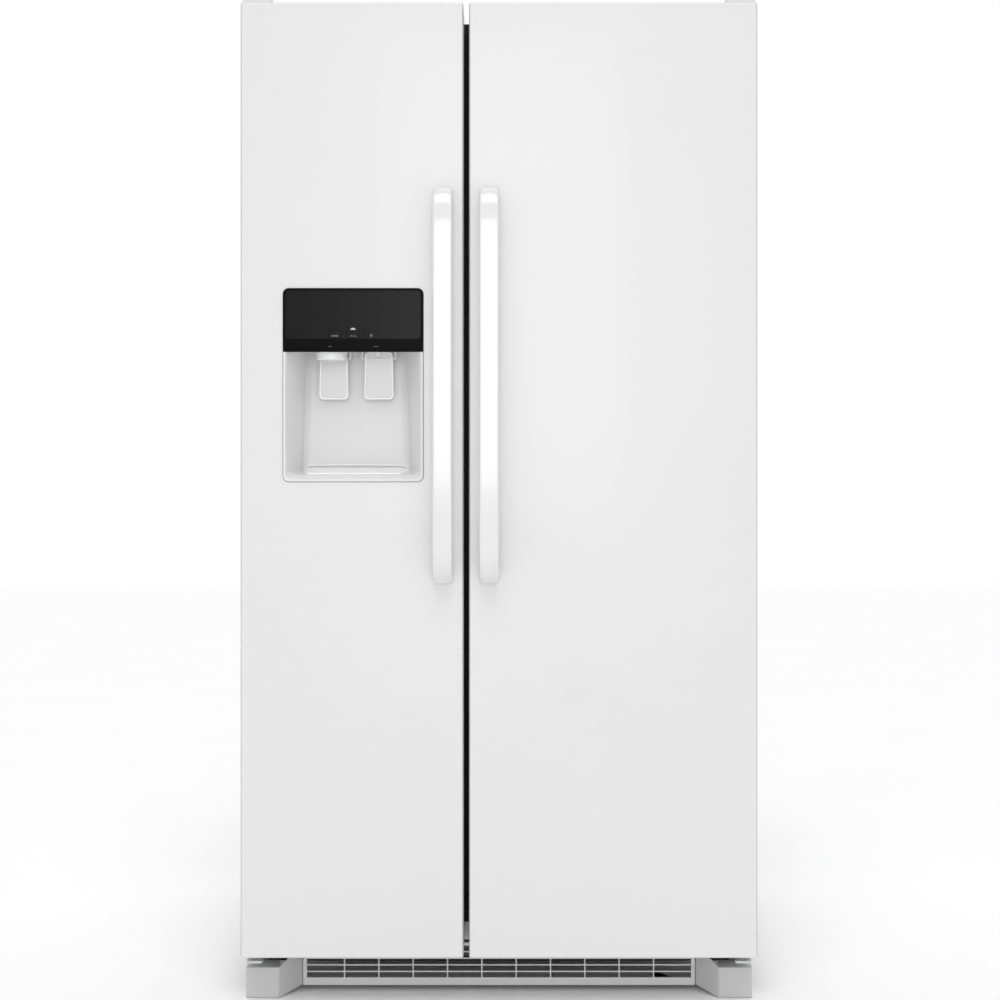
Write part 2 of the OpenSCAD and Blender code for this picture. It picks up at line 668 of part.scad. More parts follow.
module control_housing() color(liner_white) difference() {
    block([60, shelf_front_y, ceil_z - 44], [320, 60, ceil_z]);
    block([110, shelf_front_y + 30, ceil_z - 45], [270, 40, ceil_z - 30]);
}
module light_lenses() color(clear) {
    block([110.5, shelf_front_y + 30.5, ceil_z - 46], [269.5, 39.5, ceil_z - 31]);
    block([fan_x - 45, shelf_front_y + 20, ceil_z - 16], [fan_x + 45, shelf_front_y + 90, ceil_z]);
}

// Doors
module pin_holes(x) {
    translate([x, hinge_y, door_bottom - eps]) cylinder(r = pin_r + pin_clear, h = pin_depth + eps);
    translate([x, hinge_y, door_top - pin_depth]) cylinder(r = pin_r + pin_clear, h = pin_depth + eps);
}
module door_skin(x0, x1, pin_x) difference() {
    along_z(door_bottom, door_top) polygon(front_rounded([x0, door_y], [x1, door_back], door_r));
    along_z(door_bottom + cap_t, door_top - cap_t) polygon(front_rounded(
        [x0 + skin_t, door_y + skin_t], [x1 - skin_t, door_back + eps], door_r - skin_t));
    pin_holes(pin_x);
}
module door_core(x0, x1, pin_x) difference() {
    along_z(door_bottom + cap_t, door_top - cap_t) polygon(front_rounded(
        [x0 + skin_t, door_y + skin_t], [x1 - skin_t, door_back - liner_t], door_r - skin_t));
    pin_holes(pin_x);
}
module door_liner(x0, x1, dike_x0, dike_x1) {
    block([x0 + skin_t, door_back - liner_t, door_bottom + cap_t],
        [x1 - skin_t, door_back, door_top - cap_t]);
    along_y(door_back, dike_y) ring(dike_x0, dike_x1, dike_z0, dike_z1, dike_w);
}
module gasket(x0, x1) {
    along_y(door_back, door_back + 5) ring(x0, x1, gasket_z0, gasket_z1, gasket_w);
    along_y(door_back + 5, door_back + gasket_t)
        ring(x0 + 2, x1 - 2, gasket_z0 + 2, gasket_z1 - 2, gasket_w - 4);
}
module door_bin(x0, x1, z0, z1, y1) difference() {
    along_z(z0, z1) polygon(rounded_rect([x0, bin_back_y], [x1, y1], bin_r));
    along_z(z0 + bin_wall, z1 + eps) polygon(rounded_rect(
        [x0 + bin_wall, bin_back_y + bin_wall], [x1 - bin_wall, y1 - bin_wall], bin_r - bin_wall));
}
// The handle's side outline: a bowed bar whose ends turn back to the door
function handle_edge(half, depth, power, bow) = [
    for (i = [-24:24]) let (t = sin(90 * i / 24))
        [door_y - depth * (1 - bow * t * t) * sqrt(max(0, 1 - pow(abs(t), power))), handle_z + half * t]];
module handle(x) color(white) along_x(x - handle_w / 2, x + handle_w / 2) difference() {
    polygon(handle_edge(handle_len / 2, handle_reach, 14, 0.1));
    polygon(concat([[door_y + eps, handle_z - handle_len / 2 + 24]],
        handle_edge(handle_len / 2 - 24, handle_reach - 18, 10, 0.1),
        [[door_y + eps, handle_z + handle_len / 2 - 24]]));
}

// Dispenser spaces, cut out of the freezer door
module housing_space(o) block(
    [disp_x - housing_w / 2 - o, door_y - 5, disp_z + housing_inset - o],
    [disp_x + housing_w / 2 + o, recess_y + recess_wall, disp_top - housing_inset + o]);
function chute_outline(o) = [
    [chute_y - chute_r + o, panel_z + 1], [chute_y + chute_r - o, panel_z + 1],
    [chute_y + chute_r - o, 1246 + o * 0.6], [bulge_y + eps, 1302 + o], [bulge_y + eps, 1384 - o],
    [door_y + 55, 1346 - o], [chute_y - chute_r + o, 1292 - o]];
module chute_space() along_x(chute_x - chute_r, chute_x + chute_r) polygon(chute_outline(0));
module ice_chute() color(white) difference() {
    union() {
        intersection() {
            chute_space();
            block([chute_x - 50, door_y, 0], [chute_x + 50, bulge_y, 2000]);
        }
        translate([chute_x, chute_y, chute_ring_z]) cylinder(r = chute_r, h = panel_z + 1 - chute_ring_z);
    }
    along_x(chute_x - chute_r + chute_wall, chute_x + chute_r - chute_wall)
        polygon(chute_outline(chute_wall));
    translate([chute_x, chute_y, chute_ring_z - eps])
        cylinder(r = chute_r - chute_wall, h = panel_z - chute_ring_z + 3);
    rod_x(chute_x - chute_r - eps, chute_x + chute_r + eps, flap_axis_y, flap_z, 1.5 + pin_clear);
}
module chute_flap() color(light_grey) {
    rod_x(chute_x - chute_r + 0.5, chute_x + chute_r - 0.5, flap_axis_y, flap_z, 1.5);
    block([chute_x - 21.5, chute_y - 20, flap_z - 1], [chute_x + 21.5, flap_axis_y, flap_z + 1]);
}
module freezer_door_skin() color(white) difference() {
    door_skin(-half_w, freezer_door_x1, -hinge_x);
    housing_space(1);
}
module freezer_door_core() color(foam) difference() {
    door_core(-half_w, freezer_door_x1, -hinge_x);
    housing_space(0);
    chute_space();
}
module freezer_door_liner() color(liner_white) difference() {
    union() {
        door_liner(-half_w, freezer_door_x1, freezer_dike_x0, freezer_dike_x1);
        block([freezer_dike_x0 + dike_w, door_back, bulge_z0], [freezer_dike_x1 - dike_w, bulge_y, bulge_z1]);
    }
    housing_space(0);
    chute_space();
}
module freezer_gasket() color(black) gasket(gasket_hinge_inset - half_w, freezer_door_x1 - gasket_gap_inset);
module freezer_handle() handle(gap_x - handle_offset);
module freezer_door_bins() color(clear) for (z = freezer_bin_z)
    door_bin(freezer_dike_x0 + dike_w + bin_gap, freezer_dike_x1 - dike_w - bin_gap, z, z + bin_h, bin_y);
module fridge_door_skin() color(white) door_skin(fridge_door_x0, half_w, hinge_x);
module fridge_door_core() color(foam) door_core(fridge_door_x0, half_w, hinge_x);
module fridge_door_liner() color(liner_white)
    door_liner(fridge_door_x0, half_w, fridge_dike_x0, fridge_dike_x1);
module fridge_gasket() color(black) gasket(fridge_door_x0 + gasket_gap_inset, half_w - gasket_hinge_inset);
module fridge_handle() handle(gap_x + handle_offset);
module fridge_door_bins() color(clear) {
    for (z = fridge_bin_z) door_bin(dairy_x0, dairy_x1, z, z + bin_h, bin_y);
    // dairy compartment, open towards the shelves and closed by its own door
    difference() {
        block([dairy_x0, bin_back_y, dairy_z0], [dairy_x1, dairy_y, dairy_z1 + 6]);
        block([dairy_x0 + bin_wall, bin_back_y + bin_wall, dairy_z0 + bin_wall],
            [dairy_x1 - bin_wall, dairy_y + eps, dairy_z1 + 3]);
        rod_x(dairy_x0 - eps, dairy_x1 + eps, dairy_y - 4, dairy_z1 - 4, 2 + pin_clear);
    }
}
module dairy_door() color(clear) {
    rod_x(dairy_x0 + 0.5, dairy_x1 - 0.5, dairy_y - 4, dairy_z1 - 4, 2);
    block([dairy_x0 + 4, dairy_y - 4, dairy_z0 + 4], [dairy_x1 - 4, dairy_y - 1, dairy_z1 - 4]);
    block([dairy_x0 + 120, dairy_y - 1, dairy_z0 + 4], [dairy_x1 - 120, dairy_y + 5, dairy_z0 + 9]);
}

// Dispenser pieces
function recess_side() = [
    [door_y - 10, disp_z + 4], [door_y + 3, disp_z + 5], [door_y + 14, tray_z], [door_y + 66, tray_z],
    [recess_y - 4, disp_z + 25], [recess_y, disp_z + 34], [recess_y, panel_z], [door_y - 10, panel_z]];
function recess_plan() = concat(
    [[disp_x + housing_w / 2 - 2, door_y - 10], [disp_x + housing_w / 2 - 2, door_y + 2]],
    arc([disp_x + recess_half, recess_y - recess_r], recess_r, 0, 90),
    arc([disp_x - recess_half, recess_y - recess_r], recess_r, 90, 180),
    [[disp_x - housing_w / 2 + 2, door_y + 2], [disp_x - housing_w / 2 + 2, door_y - 10]]);
module recess() intersection() {
    along_z(disp_z, panel_z + ceiling_t + eps) polygon(recess_plan());
    along_x(disp_x - disp_w, disp_x + disp_w) polygon(recess_side());
}
module paddle_bosses(x) for (dx = [-31.5, 28]) difference() {
    block([x + dx, paddle_axis_y - 5, paddle_axis_z - 4], [x + dx + 3.5, paddle_axis_y + 5, panel_z + 0.5]);
    rod_x(x - 40, x + 40, paddle_axis_y, paddle_axis_z, 2 + pin_clear);
}
module dispenser_housing() color(light_grey) {
    difference() {
        union() {
            along_y(door_y - bezel_t, door_y) polygon(rounded_rect(
                [disp_x - disp_w / 2, disp_z], [disp_x + disp_w / 2, disp_top], disp_r));
            block([disp_x - housing_w / 2, door_y - 0.5, disp_z + housing_inset],
                [disp_x + housing_w / 2, recess_y + recess_wall, disp_top - housing_inset]);
        }
        recess();
        block([disp_x - disp_w, door_y - 5, panel_z], [disp_x + disp_w, door_y + 6, disp_top + eps]);
        block([disp_x - housing_w / 2 + 3, door_y, panel_z + ceiling_t],
            [disp_x + housing_w / 2 - 3, recess_y, disp_top - housing_inset - 3]);
        translate([chute_x, chute_y, panel_z - eps])
            cylinder(r = chute_r + pin_clear, h = ceiling_t + 2 * eps);
        chute_space();
    }
    paddle_bosses(chute_x);
    paddle_bosses(water_x);
    translate([water_x, chute_y + 8, panel_z - 5]) cylinder(r = 5, h = 5.5);
}
module key_face(i, o) block(
    [disp_x + i * key_pitch - key_w / 2 - o, panel_face_y - 2 * o, key_z - key_h / 2 - o],
    [disp_x + i * key_pitch + key_w / 2 + o, panel_face_y + 6 + 16 * o, key_z + key_h / 2 + o]);
module dispenser_panel() color(black) difference() {
    union() {
        intersection() {
            along_y(panel_face_y, door_y) polygon(concat(
                [[disp_x - disp_w / 2, panel_z], [disp_x + disp_w / 2, panel_z]],
                arc([disp_x + disp_w / 2 - disp_r, disp_top - disp_r], disp_r, 0, 90),
                arc([disp_x - disp_w / 2 + disp_r, disp_top - disp_r], disp_r, 90, 180)));
            along_x(disp_x - disp_w, disp_x + disp_w) polygon([
                [panel_face_y, panel_z + 21], [panel_face_y, disp_top], [door_y + 1, disp_top],
                [door_y + 1, panel_z], [door_y - 0.6, panel_z]]);
        }
        block([disp_x - housing_w / 2, door_y, panel_z],
            [disp_x + housing_w / 2, door_y + 6, disp_top - housing_inset]);
    }
    for (i = [-1:1]) key_face(i, key_gap);
}
module key_cubes() color(black) key_face(-1, 0);
module key_crushed() color(black) key_face(0, 0);
module key_light() color(black) key_face(1, 0);
module drip_tray() color(light_grey) difference() {
    block([disp_x - tray_half, tray_y0, tray_z], [disp_x + tray_half, tray_y1, tray_z + tray_t]);
    for (i = [-4:4]) block([disp_x + i * 17 - 5, tray_y0 + 8, tray_z - eps],
        [disp_x + i * 17 + 5, tray_y1 - 8, tray_z + tray_t + eps]);
}
module paddle(x) color(light_grey) {
    top = paddle_axis_z + 3;
    front = paddle_axis_y - 2.5;
    rod_x(x - 31, x + 31, paddle_axis_y, paddle_axis_z, 2);
    difference() {
        along_y(front, front + paddle_t) polygon(concat(
            [[x + paddle_w / 2, top], [x - paddle_w / 2, top]],
            arc([x - paddle_w / 2 + 8, paddle_z + 8], 8, 180, 270),
            arc([x + paddle_w / 2 - 8, paddle_z + 8], 8, 270, 360)));
        along_y(front - eps, front + 1.5) polygon(rounded_rect(
            [x - paddle_w / 2 + 5, paddle_z + 5], [x + paddle_w / 2 - 5, paddle_axis_z - 8], 5));
    }
}
module ice_paddle() paddle(chute_x);
module water_paddle() paddle(water_x);

cabinet_wrap();
insulation();
freezer_liner();
fridge_liner();
mullion_cover();
rear_panel();
base_frame();
kick_plate();
foot_covers();
hinge_brackets();
hinge_covers();
cabinet_screws();
machine_cover();
compressor();
condenser();
drain_pan();
water_valve();
evaporator_coil();
evaporator_cover();
freezer_shelves();
ice_maker();
glass_shelves();
air_tower();
light_lenses();
control_housing();
freezer_door_skin();
freezer_door_core();
freezer_door_liner();
freezer_gasket();
freezer_handle();
freezer_door_bins();
dispenser_housing();
dispenser_panel();
ice_chute();
drip_tray();
ice_paddle();
water_paddle();
chute_flap();
key_cubes();
key_crushed();
key_light();
fridge_door_skin();
fridge_door_core();
fridge_door_liner();
fridge_gasket();
fridge_handle();
fridge_door_bins();
dairy_door();
crisper_upper();
crisper_lower();
freezer_basket();
ice_bin();
ice_auger();
shutoff_arm();
evaporator_fan();
condenser_fan();
front_rollers();
rear_rollers();
leveling_leg_left();
leveling_leg_right();
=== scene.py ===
import json
import math

import bmesh
import bpy
from mathutils import Matrix, Vector


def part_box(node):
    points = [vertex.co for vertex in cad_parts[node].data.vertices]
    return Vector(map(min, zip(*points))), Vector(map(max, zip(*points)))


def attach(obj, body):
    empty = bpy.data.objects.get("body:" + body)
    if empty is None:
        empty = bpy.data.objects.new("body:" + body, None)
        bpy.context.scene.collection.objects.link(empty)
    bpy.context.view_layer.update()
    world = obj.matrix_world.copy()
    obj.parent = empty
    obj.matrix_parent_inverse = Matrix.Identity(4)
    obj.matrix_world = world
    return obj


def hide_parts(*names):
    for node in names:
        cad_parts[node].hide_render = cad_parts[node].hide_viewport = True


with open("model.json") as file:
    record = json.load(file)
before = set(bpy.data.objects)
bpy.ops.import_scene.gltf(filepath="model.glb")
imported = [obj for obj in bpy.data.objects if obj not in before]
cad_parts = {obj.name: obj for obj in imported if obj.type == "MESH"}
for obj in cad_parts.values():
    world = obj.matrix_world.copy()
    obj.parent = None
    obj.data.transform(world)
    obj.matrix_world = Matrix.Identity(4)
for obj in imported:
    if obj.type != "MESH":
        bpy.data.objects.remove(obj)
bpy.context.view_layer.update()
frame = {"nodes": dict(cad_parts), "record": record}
NODES = frame["nodes"]
BODY_OF = {node: body for body, members in frame["record"]["behaviour"]["bodies"].items()
           for node in members}
SLOT_OF = {s["node"]: s["material_slot"] for s in frame["record"]["subparts"]}
MM = 0.001


# ---------------------------------------------------------------- camera, light and floor

def add_camera():
    """A level camera straight in front of the doors, at the height of the dispenser's foot."""
    door_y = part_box("fridge_door_skin")[0].y
    camera = bpy.data.cameras.new("camera")
    camera.sensor_width = 36.0
    camera.lens = 55.37
    obj = bpy.data.objects.new("camera", camera)
    obj.location = (1.8 * MM, door_y - 2.7, 0.8907)
    obj.rotation_euler = (math.radians(90), 0, 0)
    bpy.context.scene.collection.objects.link(obj)
    bpy.context.scene.camera = obj


def area_light(name, place, target, size, power):
    """A rectangular soft box that looks at a point."""
    light = bpy.data.lights.new(name, "AREA")
    light.shape = "RECTANGLE"
    light.size, light.size_y = size
    light.energy = power
    obj = bpy.data.objects.new(name, light)
    obj.location = place
    direction = Vector(target) - Vector(place)
    obj.rotation_euler = direction.to_track_quat("-Z", "Y").to_euler()
    bpy.context.scene.collection.objects.link(obj)


def add_world():
    """A white room: full white behind the machine and dimmer on the camera's side."""
    world = bpy.data.worlds.new("studio")
    world.use_nodes = True
    tree = world.node_tree
    place = tree.nodes.new("ShaderNodeTexCoord")
    split = tree.nodes.new("ShaderNodeSeparateXYZ")
    tree.links.new(place.outputs["Generated"], split.inputs["Vector"])
    ramp = tree.nodes.new("ShaderNodeValToRGB")
    turn = tree.nodes.new("ShaderNodeMapRange")
    turn.inputs["From Min"].default_value = -1.0
    tree.links.new(split.outputs["Y"], turn.inputs["Value"])
    tree.links.new(turn.outputs["Result"], ramp.inputs["Fac"])
    stops = ((0.0, 0.72), (0.15, 0.68), (0.35, 0.62), (0.5, 0.62), (0.65, 1.0), (1.0, 1.0))
    while len(ramp.color_ramp.elements) < len(stops):
        ramp.color_ramp.elements.new(0.5)
    for element, (place_on, level) in zip(ramp.color_ramp.elements, stops):
        element.position = place_on
        element.color = (level, level, level, 1)
    background = tree.nodes["Background"]
    tree.links.new(ramp.outputs["Color"], background.inputs["Color"])
    background.inputs["Strength"].default_value = 1.0
    bpy.context.scene.world = world


def add_lights():
    """A broad soft key from overhead and one soft box in front."""
    sun = bpy.data.lights.new("key", "SUN")
    sun.energy = 0.9
    sun.angle = math.radians(35)
    key = bpy.data.objects.new("key", sun)
    key.rotation_euler = (math.radians(28), 0, 0)
    bpy.context.scene.collection.objects.link(key)
    area_light("front", (0, -4.6, 1.9), (0, -0.3, 1.8), (1.1, 2.2), 27)


def set_view():
    """Plain colours, with no film look."""
    view = bpy.context.scene.view_settings
    view.view_transform = "Standard"
    view.look = "None"


def add_floor():
    """A plain pale floor."""
    bm = bmesh.new()
    bmesh.ops.create_grid(bm, x_segments=1, y_segments=1, size=12)
    obj = link("floor", bm)
    obj.data.materials.append(surface("floor_white", grey(0.93), grey(0.95), 2,
                                      roughness=0.85, grain=300, bump=0.02))


# ---------------------------------------------------------------- materials

def surface(name, low, high, scale, roughness, grain=800, bump=0.05, depth=0.0002, metallic=0.0,
            specular=0.5, coat=0.0, stretch=(1, 1, 1), vary=0.06):
    """A solid finish: two close shades mixed by a broad noise, with fine grain in the bump."""
    mat = bpy.data.materials.new(name)
    mat.use_nodes = True
    tree = mat.node_tree
    shader = tree.nodes["Principled BSDF"]
    shader.inputs["Metallic"].default_value = metallic
    shader.inputs["Specular IOR Level"].default_value = specular
    shader.inputs["Coat Weight"].default_value = coat
    shader.inputs["Coat Roughness"].default_value = 0.08
    place = tree.nodes.new("ShaderNodeTexCoord")
    mapping = tree.nodes.new("ShaderNodeMapping")
    mapping.inputs["Scale"].default_value = stretch
    tree.links.new(place.outputs["Object"], mapping.inputs["Vector"])
    broad = noise(tree, mapping, scale, 3)
    fine = noise(tree, mapping, grain, 2)
    mix = tree.nodes.new("ShaderNodeMix")
    mix.data_type = "RGBA"
    mix.inputs["A"].default_value = (*low, 1)
    mix.inputs["B"].default_value = (*high, 1)
    tree.links.new(broad.outputs["Fac"], mix.inputs["Factor"])
    tree.links.new(mix.outputs["Result"], shader.inputs["Base Color"])
    spread = tree.nodes.new("ShaderNodeMapRange")
    spread.inputs["To Min"].default_value = max(0.02, roughness - vary)
    spread.inputs["To Max"].default_value = roughness + vary
    tree.links.new(fine.outputs["Fac"], spread.inputs["Value"])
    tree.links.new(spread.outputs["Result"], shader.inputs["Roughness"])
    relief = tree.nodes.new("ShaderNodeBump")
    relief.inputs["Strength"].default_value = bump
    relief.inputs["Distance"].default_value = depth
    tree.links.new(fine.outputs["Fac"], relief.inputs["Height"])
    tree.links.new(relief.outputs["Normal"], shader.inputs["Normal"])
    return mat


def grey(level):
    """A neutral colour."""
    return (level, level, level)


def noise(tree, mapping, scale, detail):
    """A noise texture on a material's mapping."""
    node = tree.nodes.new("ShaderNodeTexNoise")
    node.inputs["Scale"].default_value = scale
    node.inputs["Detail"].default_value = detail
    tree.links.new(mapping.outputs["Vector"], node.inputs["Vector"])
    return node


def see_through(name, low, high, roughness, alpha):
    """Thin clear plastic or glass: mostly open, with reflections and a light tint."""
    mat = surface(name, low, high, 6, roughness, grain=90, bump=0.02, vary=roughness * 0.4)
    mat.node_tree.nodes["Principled BSDF"].inputs["Alpha"].default_value = alpha
    return mat


def glow(name, colour, strength):
    """A small lit mark."""
    mat = surface(name, colour, colour, 50, 0.4)
    shader = mat.node_tree.nodes["Principled BSDF"]
    shader.inputs["Emission Color"].default_value = (*colour, 1)
    shader.inputs["Emission Strength"].default_value = strength
    return mat


MATERIALS = {
    "white_paint": surface("white_paint", grey(0.722), grey(0.742), 3, 0.32,
                           grain=520, bump=0.10, depth=0.00025, coat=0.15),
    "handle_white": surface("handle_white", grey(0.745), grey(0.765), 4, 0.16,
                            grain=900, bump=0.02, coat=0.5),
    "liner_plastic": surface("liner_plastic", (0.84, 0.85, 0.85), (0.87, 0.88, 0.88), 3, 0.28,
                             grain=700, bump=0.05),
    "foam": surface("foam", (0.78, 0.62, 0.34), (0.86, 0.72, 0.44), 60, 0.9, grain=1400, bump=0.6,
                    depth=0.0006),
    # Painted shade: the mullion cover is made near black, darker than its painted steel, so that the gap
    # between the doors reads as deep shade.
    "mullion_black": surface("mullion_black", grey(0.006), grey(0.010), 8, 0.5,
                             specular=0.2),
    "zinc_steel": surface("zinc_steel", (0.52, 0.53, 0.54), (0.66, 0.67, 0.68), 28, 0.36, grain=240,
                          bump=0.08, metallic=1.0, vary=0.12),
    "kick_grey": surface("kick_grey", grey(0.53), grey(0.57), 5, 0.45, grain=1300,
                         bump=0.12),
    "machine_black": surface("machine_black", grey(0.012), grey(0.025), 10, 0.42,
                             grain=900, bump=0.1),
    "black_plastic": surface("black_plastic", grey(0.015), grey(0.028), 12, 0.55,
                             grain=1300, bump=0.15),
    "valve_plastic": surface("valve_plastic", (0.66, 0.65, 0.62), (0.72, 0.71, 0.68), 8, 0.4,
                             grain=1200, bump=0.08),
    "fin_aluminium": surface("fin_aluminium", (0.72, 0.73, 0.74), (0.82, 0.83, 0.84), 40, 0.3,
                             grain=300, metallic=1.0, stretch=(1, 1, 12), vary=0.1),
    "wire_white": surface("wire_white", grey(0.82), grey(0.87), 10, 0.3, grain=900,
                          bump=0.08, coat=0.3),
    "shelf_glass": see_through("shelf_glass", (0.72, 0.86, 0.83), (0.78, 0.90, 0.87), 0.04, 0.22),
    "clear_plastic": see_through("clear_plastic", (0.86, 0.89, 0.91), (0.90, 0.93, 0.94), 0.08, 0.30),
    "lamp_lens": see_through("lamp_lens", (0.93, 0.93, 0.90), (0.97, 0.97, 0.94), 0.35, 0.75),
    # Painted shade: the door gaskets are made near black so that the gap between the doors reads as deep
    # shade.
    "gasket_rubber": surface("gasket_rubber", grey(0.006), grey(0.014), 20, 0.6,
                             grain=1500, bump=0.12, specular=0.3),
    "dispenser_grey": surface("dispenser_grey", grey(0.735), grey(0.765), 5, 0.3,
                              grain=1200, bump=0.05),
    "panel_black": surface("panel_black", grey(0.008), grey(0.011), 6, 0.22,
                           grain=900, bump=0.01, specular=0.10, vary=0.03),
}
# A darker, less shiny copy of panel_black for the panel's frame; the extra darkness is painted shade for
# its angled lower band, which faces down.
FRAME_BLACK_SHADED = surface("panel_frame", grey(0.003), grey(0.004), 6, 0.35,
                      grain=1200, bump=0.06, specular=0.05)
# Painted light: a lighter copy of kick_grey for the kick plate alone, lifted to offset the shade it sits
# in under the doors.
KICK_GREY_PAINTED_LIGHT = surface("kick_plate_painted_light", grey(0.66), grey(0.70), 5, 0.42, grain=1300,
                     bump=0.10)
PRINT_GREY = surface("print_grey", grey(0.14), grey(0.18), 200, 0.5)
LED_WHITE = glow("led_white", (0.42, 0.44, 0.46), 0.25)
# Painted highlight: a lighter copy of dispenser_grey on the paddles' rims, the recess ledge, the ice
# outlet's lip and the drip tray's rim, so their edges read as catching light.
RIM_HIGHLIGHT_GREY = surface("rim_painted_highlight", grey(0.90), grey(0.92), 5, 0.25, grain=1200, bump=0.03,
                   coat=0.3)
SHELF_FRAME = surface("shelf_frame", (0.80, 0.81, 0.81), (0.85, 0.86, 0.86), 5, 0.35, bump=0.05)


# ---------------------------------------------------------------- mesh helpers

def link(name, bm, smooth=35):
    """Turns a bmesh into an object with smooth faces and sharp edges over an angle in degrees."""
    bmesh.ops.recalc_face_normals(bm, faces=bm.faces)
    mesh = bpy.data.meshes.new(name)
    bm.to_mesh(mesh)
    bm.free()
    for face in mesh.polygons:
        face.use_smooth = True
    mesh.set_sharp_from_angle(angle=math.radians(smooth))
    obj = bpy.data.objects.new(name, mesh)
    bpy.context.scene.collection.objects.link(obj)
    return obj


def even_normals(obj):
    """Keeps large faces flat where they meet small rounded ones."""
    normals = obj.modifiers.new("normals", "WEIGHTED_NORMAL")
    normals.keep_sharp = True
    normals.weight = 100


def piece(obj, body, slot, *replaced, material=None):
    """Gives a piece its material, its body and the CAD nodes that it stands for."""
    obj.data.materials.clear()
    obj.data.materials.append(material or MATERIALS[slot])
    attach(obj, body)
    if replaced:
        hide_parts(*replaced)
    even_normals(obj)
    return obj


def box_around(points):
    """The lowest and highest corners of the box around some points."""
    return (Vector([min(p[i] for p in points) for i in range(3)]),
            Vector([max(p[i] for p in points) for i in range(3)]))


def solids(node):
    """The boxes of a CAD node's separate solids, from the lowest to the highest."""
    bm = bmesh.new()
    bm.from_mesh(NODES[node].data)
    bmesh.ops.remove_doubles(bm, verts=bm.verts, dist=1e-6)
    left = set(bm.verts)
    boxes = []
    while left:
        stack = [left.pop()]
        points = []
        while stack:
            vert = stack.pop()
            points.append(vert.co.copy())
            for edge in vert.link_edges:
                other = edge.other_vert(vert)
                if other in left:
                    left.remove(other)
                    stack.append(other)
        boxes.append(box_around(points))
    bm.free()
    return sorted(boxes, key=lambda box: box[0].z)


def add_box(bm, lo, hi, radius=0.0, segments=3, chosen=None):
    """Adds a box, with the edges that chosen accepts rounded."""
    size = Vector(hi) - Vector(lo)
    middle = (Vector(hi) + Vector(lo)) / 2
    matrix = Matrix.Translation(middle) @ Matrix.Diagonal((*size, 1))
    made = bmesh.ops.create_cube(bm, size=1, matrix=matrix)
    if radius:
        edges = {e for v in made["verts"] for e in v.link_edges}
        picked = [e for e in edges if chosen is None or chosen(e)]
        bmesh.ops.bevel(bm, geom=picked, offset=radius, segments=segments, profile=0.5,
                        affect="EDGES")


def add_loft(bm, rings, closed=True, cap_start=False, cap_end=False):
    """Joins rings of equally many points with quads."""
    rows = [[bm.verts.new(p) for p in ring] for ring in rings]
    count = len(rows[0])
    for a, b in zip(rows, rows[1:]):
        for i in range(count if closed else count - 1):
            j = (i + 1) % count
            bm.faces.new((a[i], a[j], b[j], b[i]))
    if cap_start:
        bm.faces.new(rows[0])
    if cap_end:
        bm.faces.new(rows[-1])
    return rows


def add_hoop(bm, rings):
    """Joins rings into a hoop that closes on itself."""
    add_loft(bm, rings + [rings[0]])
    bmesh.ops.remove_doubles(bm, verts=bm.verts, dist=1e-7)


def add_tube(bm, points, radius, sides=10):
    """A round wire through the points, closed at both ends."""
    points = [Vector(p) for p in points]
    rings = []
    side = None
    for i, p in enumerate(points):
        ahead = points[min(i + 1, len(points) - 1)] - points[max(i - 1, 0)]
        ahead.normalize()
        if side is None:
            side = ahead.orthogonal().normalized()
        side = (side - ahead * side.dot(ahead)).normalized()
        up = ahead.cross(side)
        rings.append([p + radius * (math.cos(a) * side + math.sin(a) * up)
                      for a in (2 * math.pi * k / sides for k in range(sides))])
    add_loft(bm, rings, cap_start=True, cap_end=True)


def add_lathe(bm, outline, centre, steps=48):
    """Turns an outline of (radius, height) points about the upright axis through centre."""
    rings = []
    for k in range(steps):
        a = 2 * math.pi * k / steps
        rings.append([Vector(centre) + Vector((r * math.cos(a), r * math.sin(a), z))
                      for r, z in outline])
    add_hoop(bm, rings)


def rounded(x0, x1, z0, z1, r, steps=6):
    """A rounded rectangle's points, anticlockwise from the right end of its lower side."""
    points = []
    for cx, cz, start in ((x1 - r, z0 + r, -90), (x1 - r, z1 - r, 0), (x0 + r, z1 - r, 90),
                          (x0 + r, z0 + r, 180)):
        for k in range(steps + 1):
            a = math.radians(start + 90 * k / steps)
            points.append((cx + r * math.cos(a), cz + r * math.sin(a)))
    return points


def cut(obj, lo, hi):
    """Takes a box out of an object's mesh."""
    bm = bmesh.new()
    add_box(bm, lo, hi)
    cut_by(obj, link("cutter", bm))


def cut_by(obj, cutter):
    """Takes one object's shape out of another and removes the cutter."""
    modifier = obj.modifiers.new("cut", "BOOLEAN")
    modifier.operation = "DIFFERENCE"
    modifier.solver = "EXACT"
    modifier.object = cutter
    bake(obj)
    bpy.data.objects.remove(cutter)


def bake(obj):
    """Applies every modifier of a piece."""
    graph = bpy.context.evaluated_depsgraph_get()
    mesh = bpy.data.meshes.new_from_object(obj.evaluated_get(graph))
    obj.modifiers.clear()
    obj.data = mesh


def solidify(obj, thickness, offset):
    """Gives a sheet its thickness, behind its faces for an offset of -1 or before them for 1."""
    modifier = obj.modifiers.new("thickness", "SOLIDIFY")
    modifier.thickness = thickness
    modifier.offset = offset
    modifier.use_even_offset = True
    bake(obj)


# ---------------------------------------------------------------- CAD nodes that stay

# Bevel widths of the CAD nodes' edges, in millimetres: the usual one and the others
EDGE = 0.6
OTHER_EDGES = {
    "insulation": 0, "freezer_door_core": 0, "fridge_door_core": 0, "hinge_covers": 0.8,
    "compressor": 2.0, "evaporator_coil": 0, "condenser": 0.3, "kick_plate": 0.7,
    "cabinet_screws": 0.5, "ice_chute": 0.4, "hinge_brackets": 1.5}


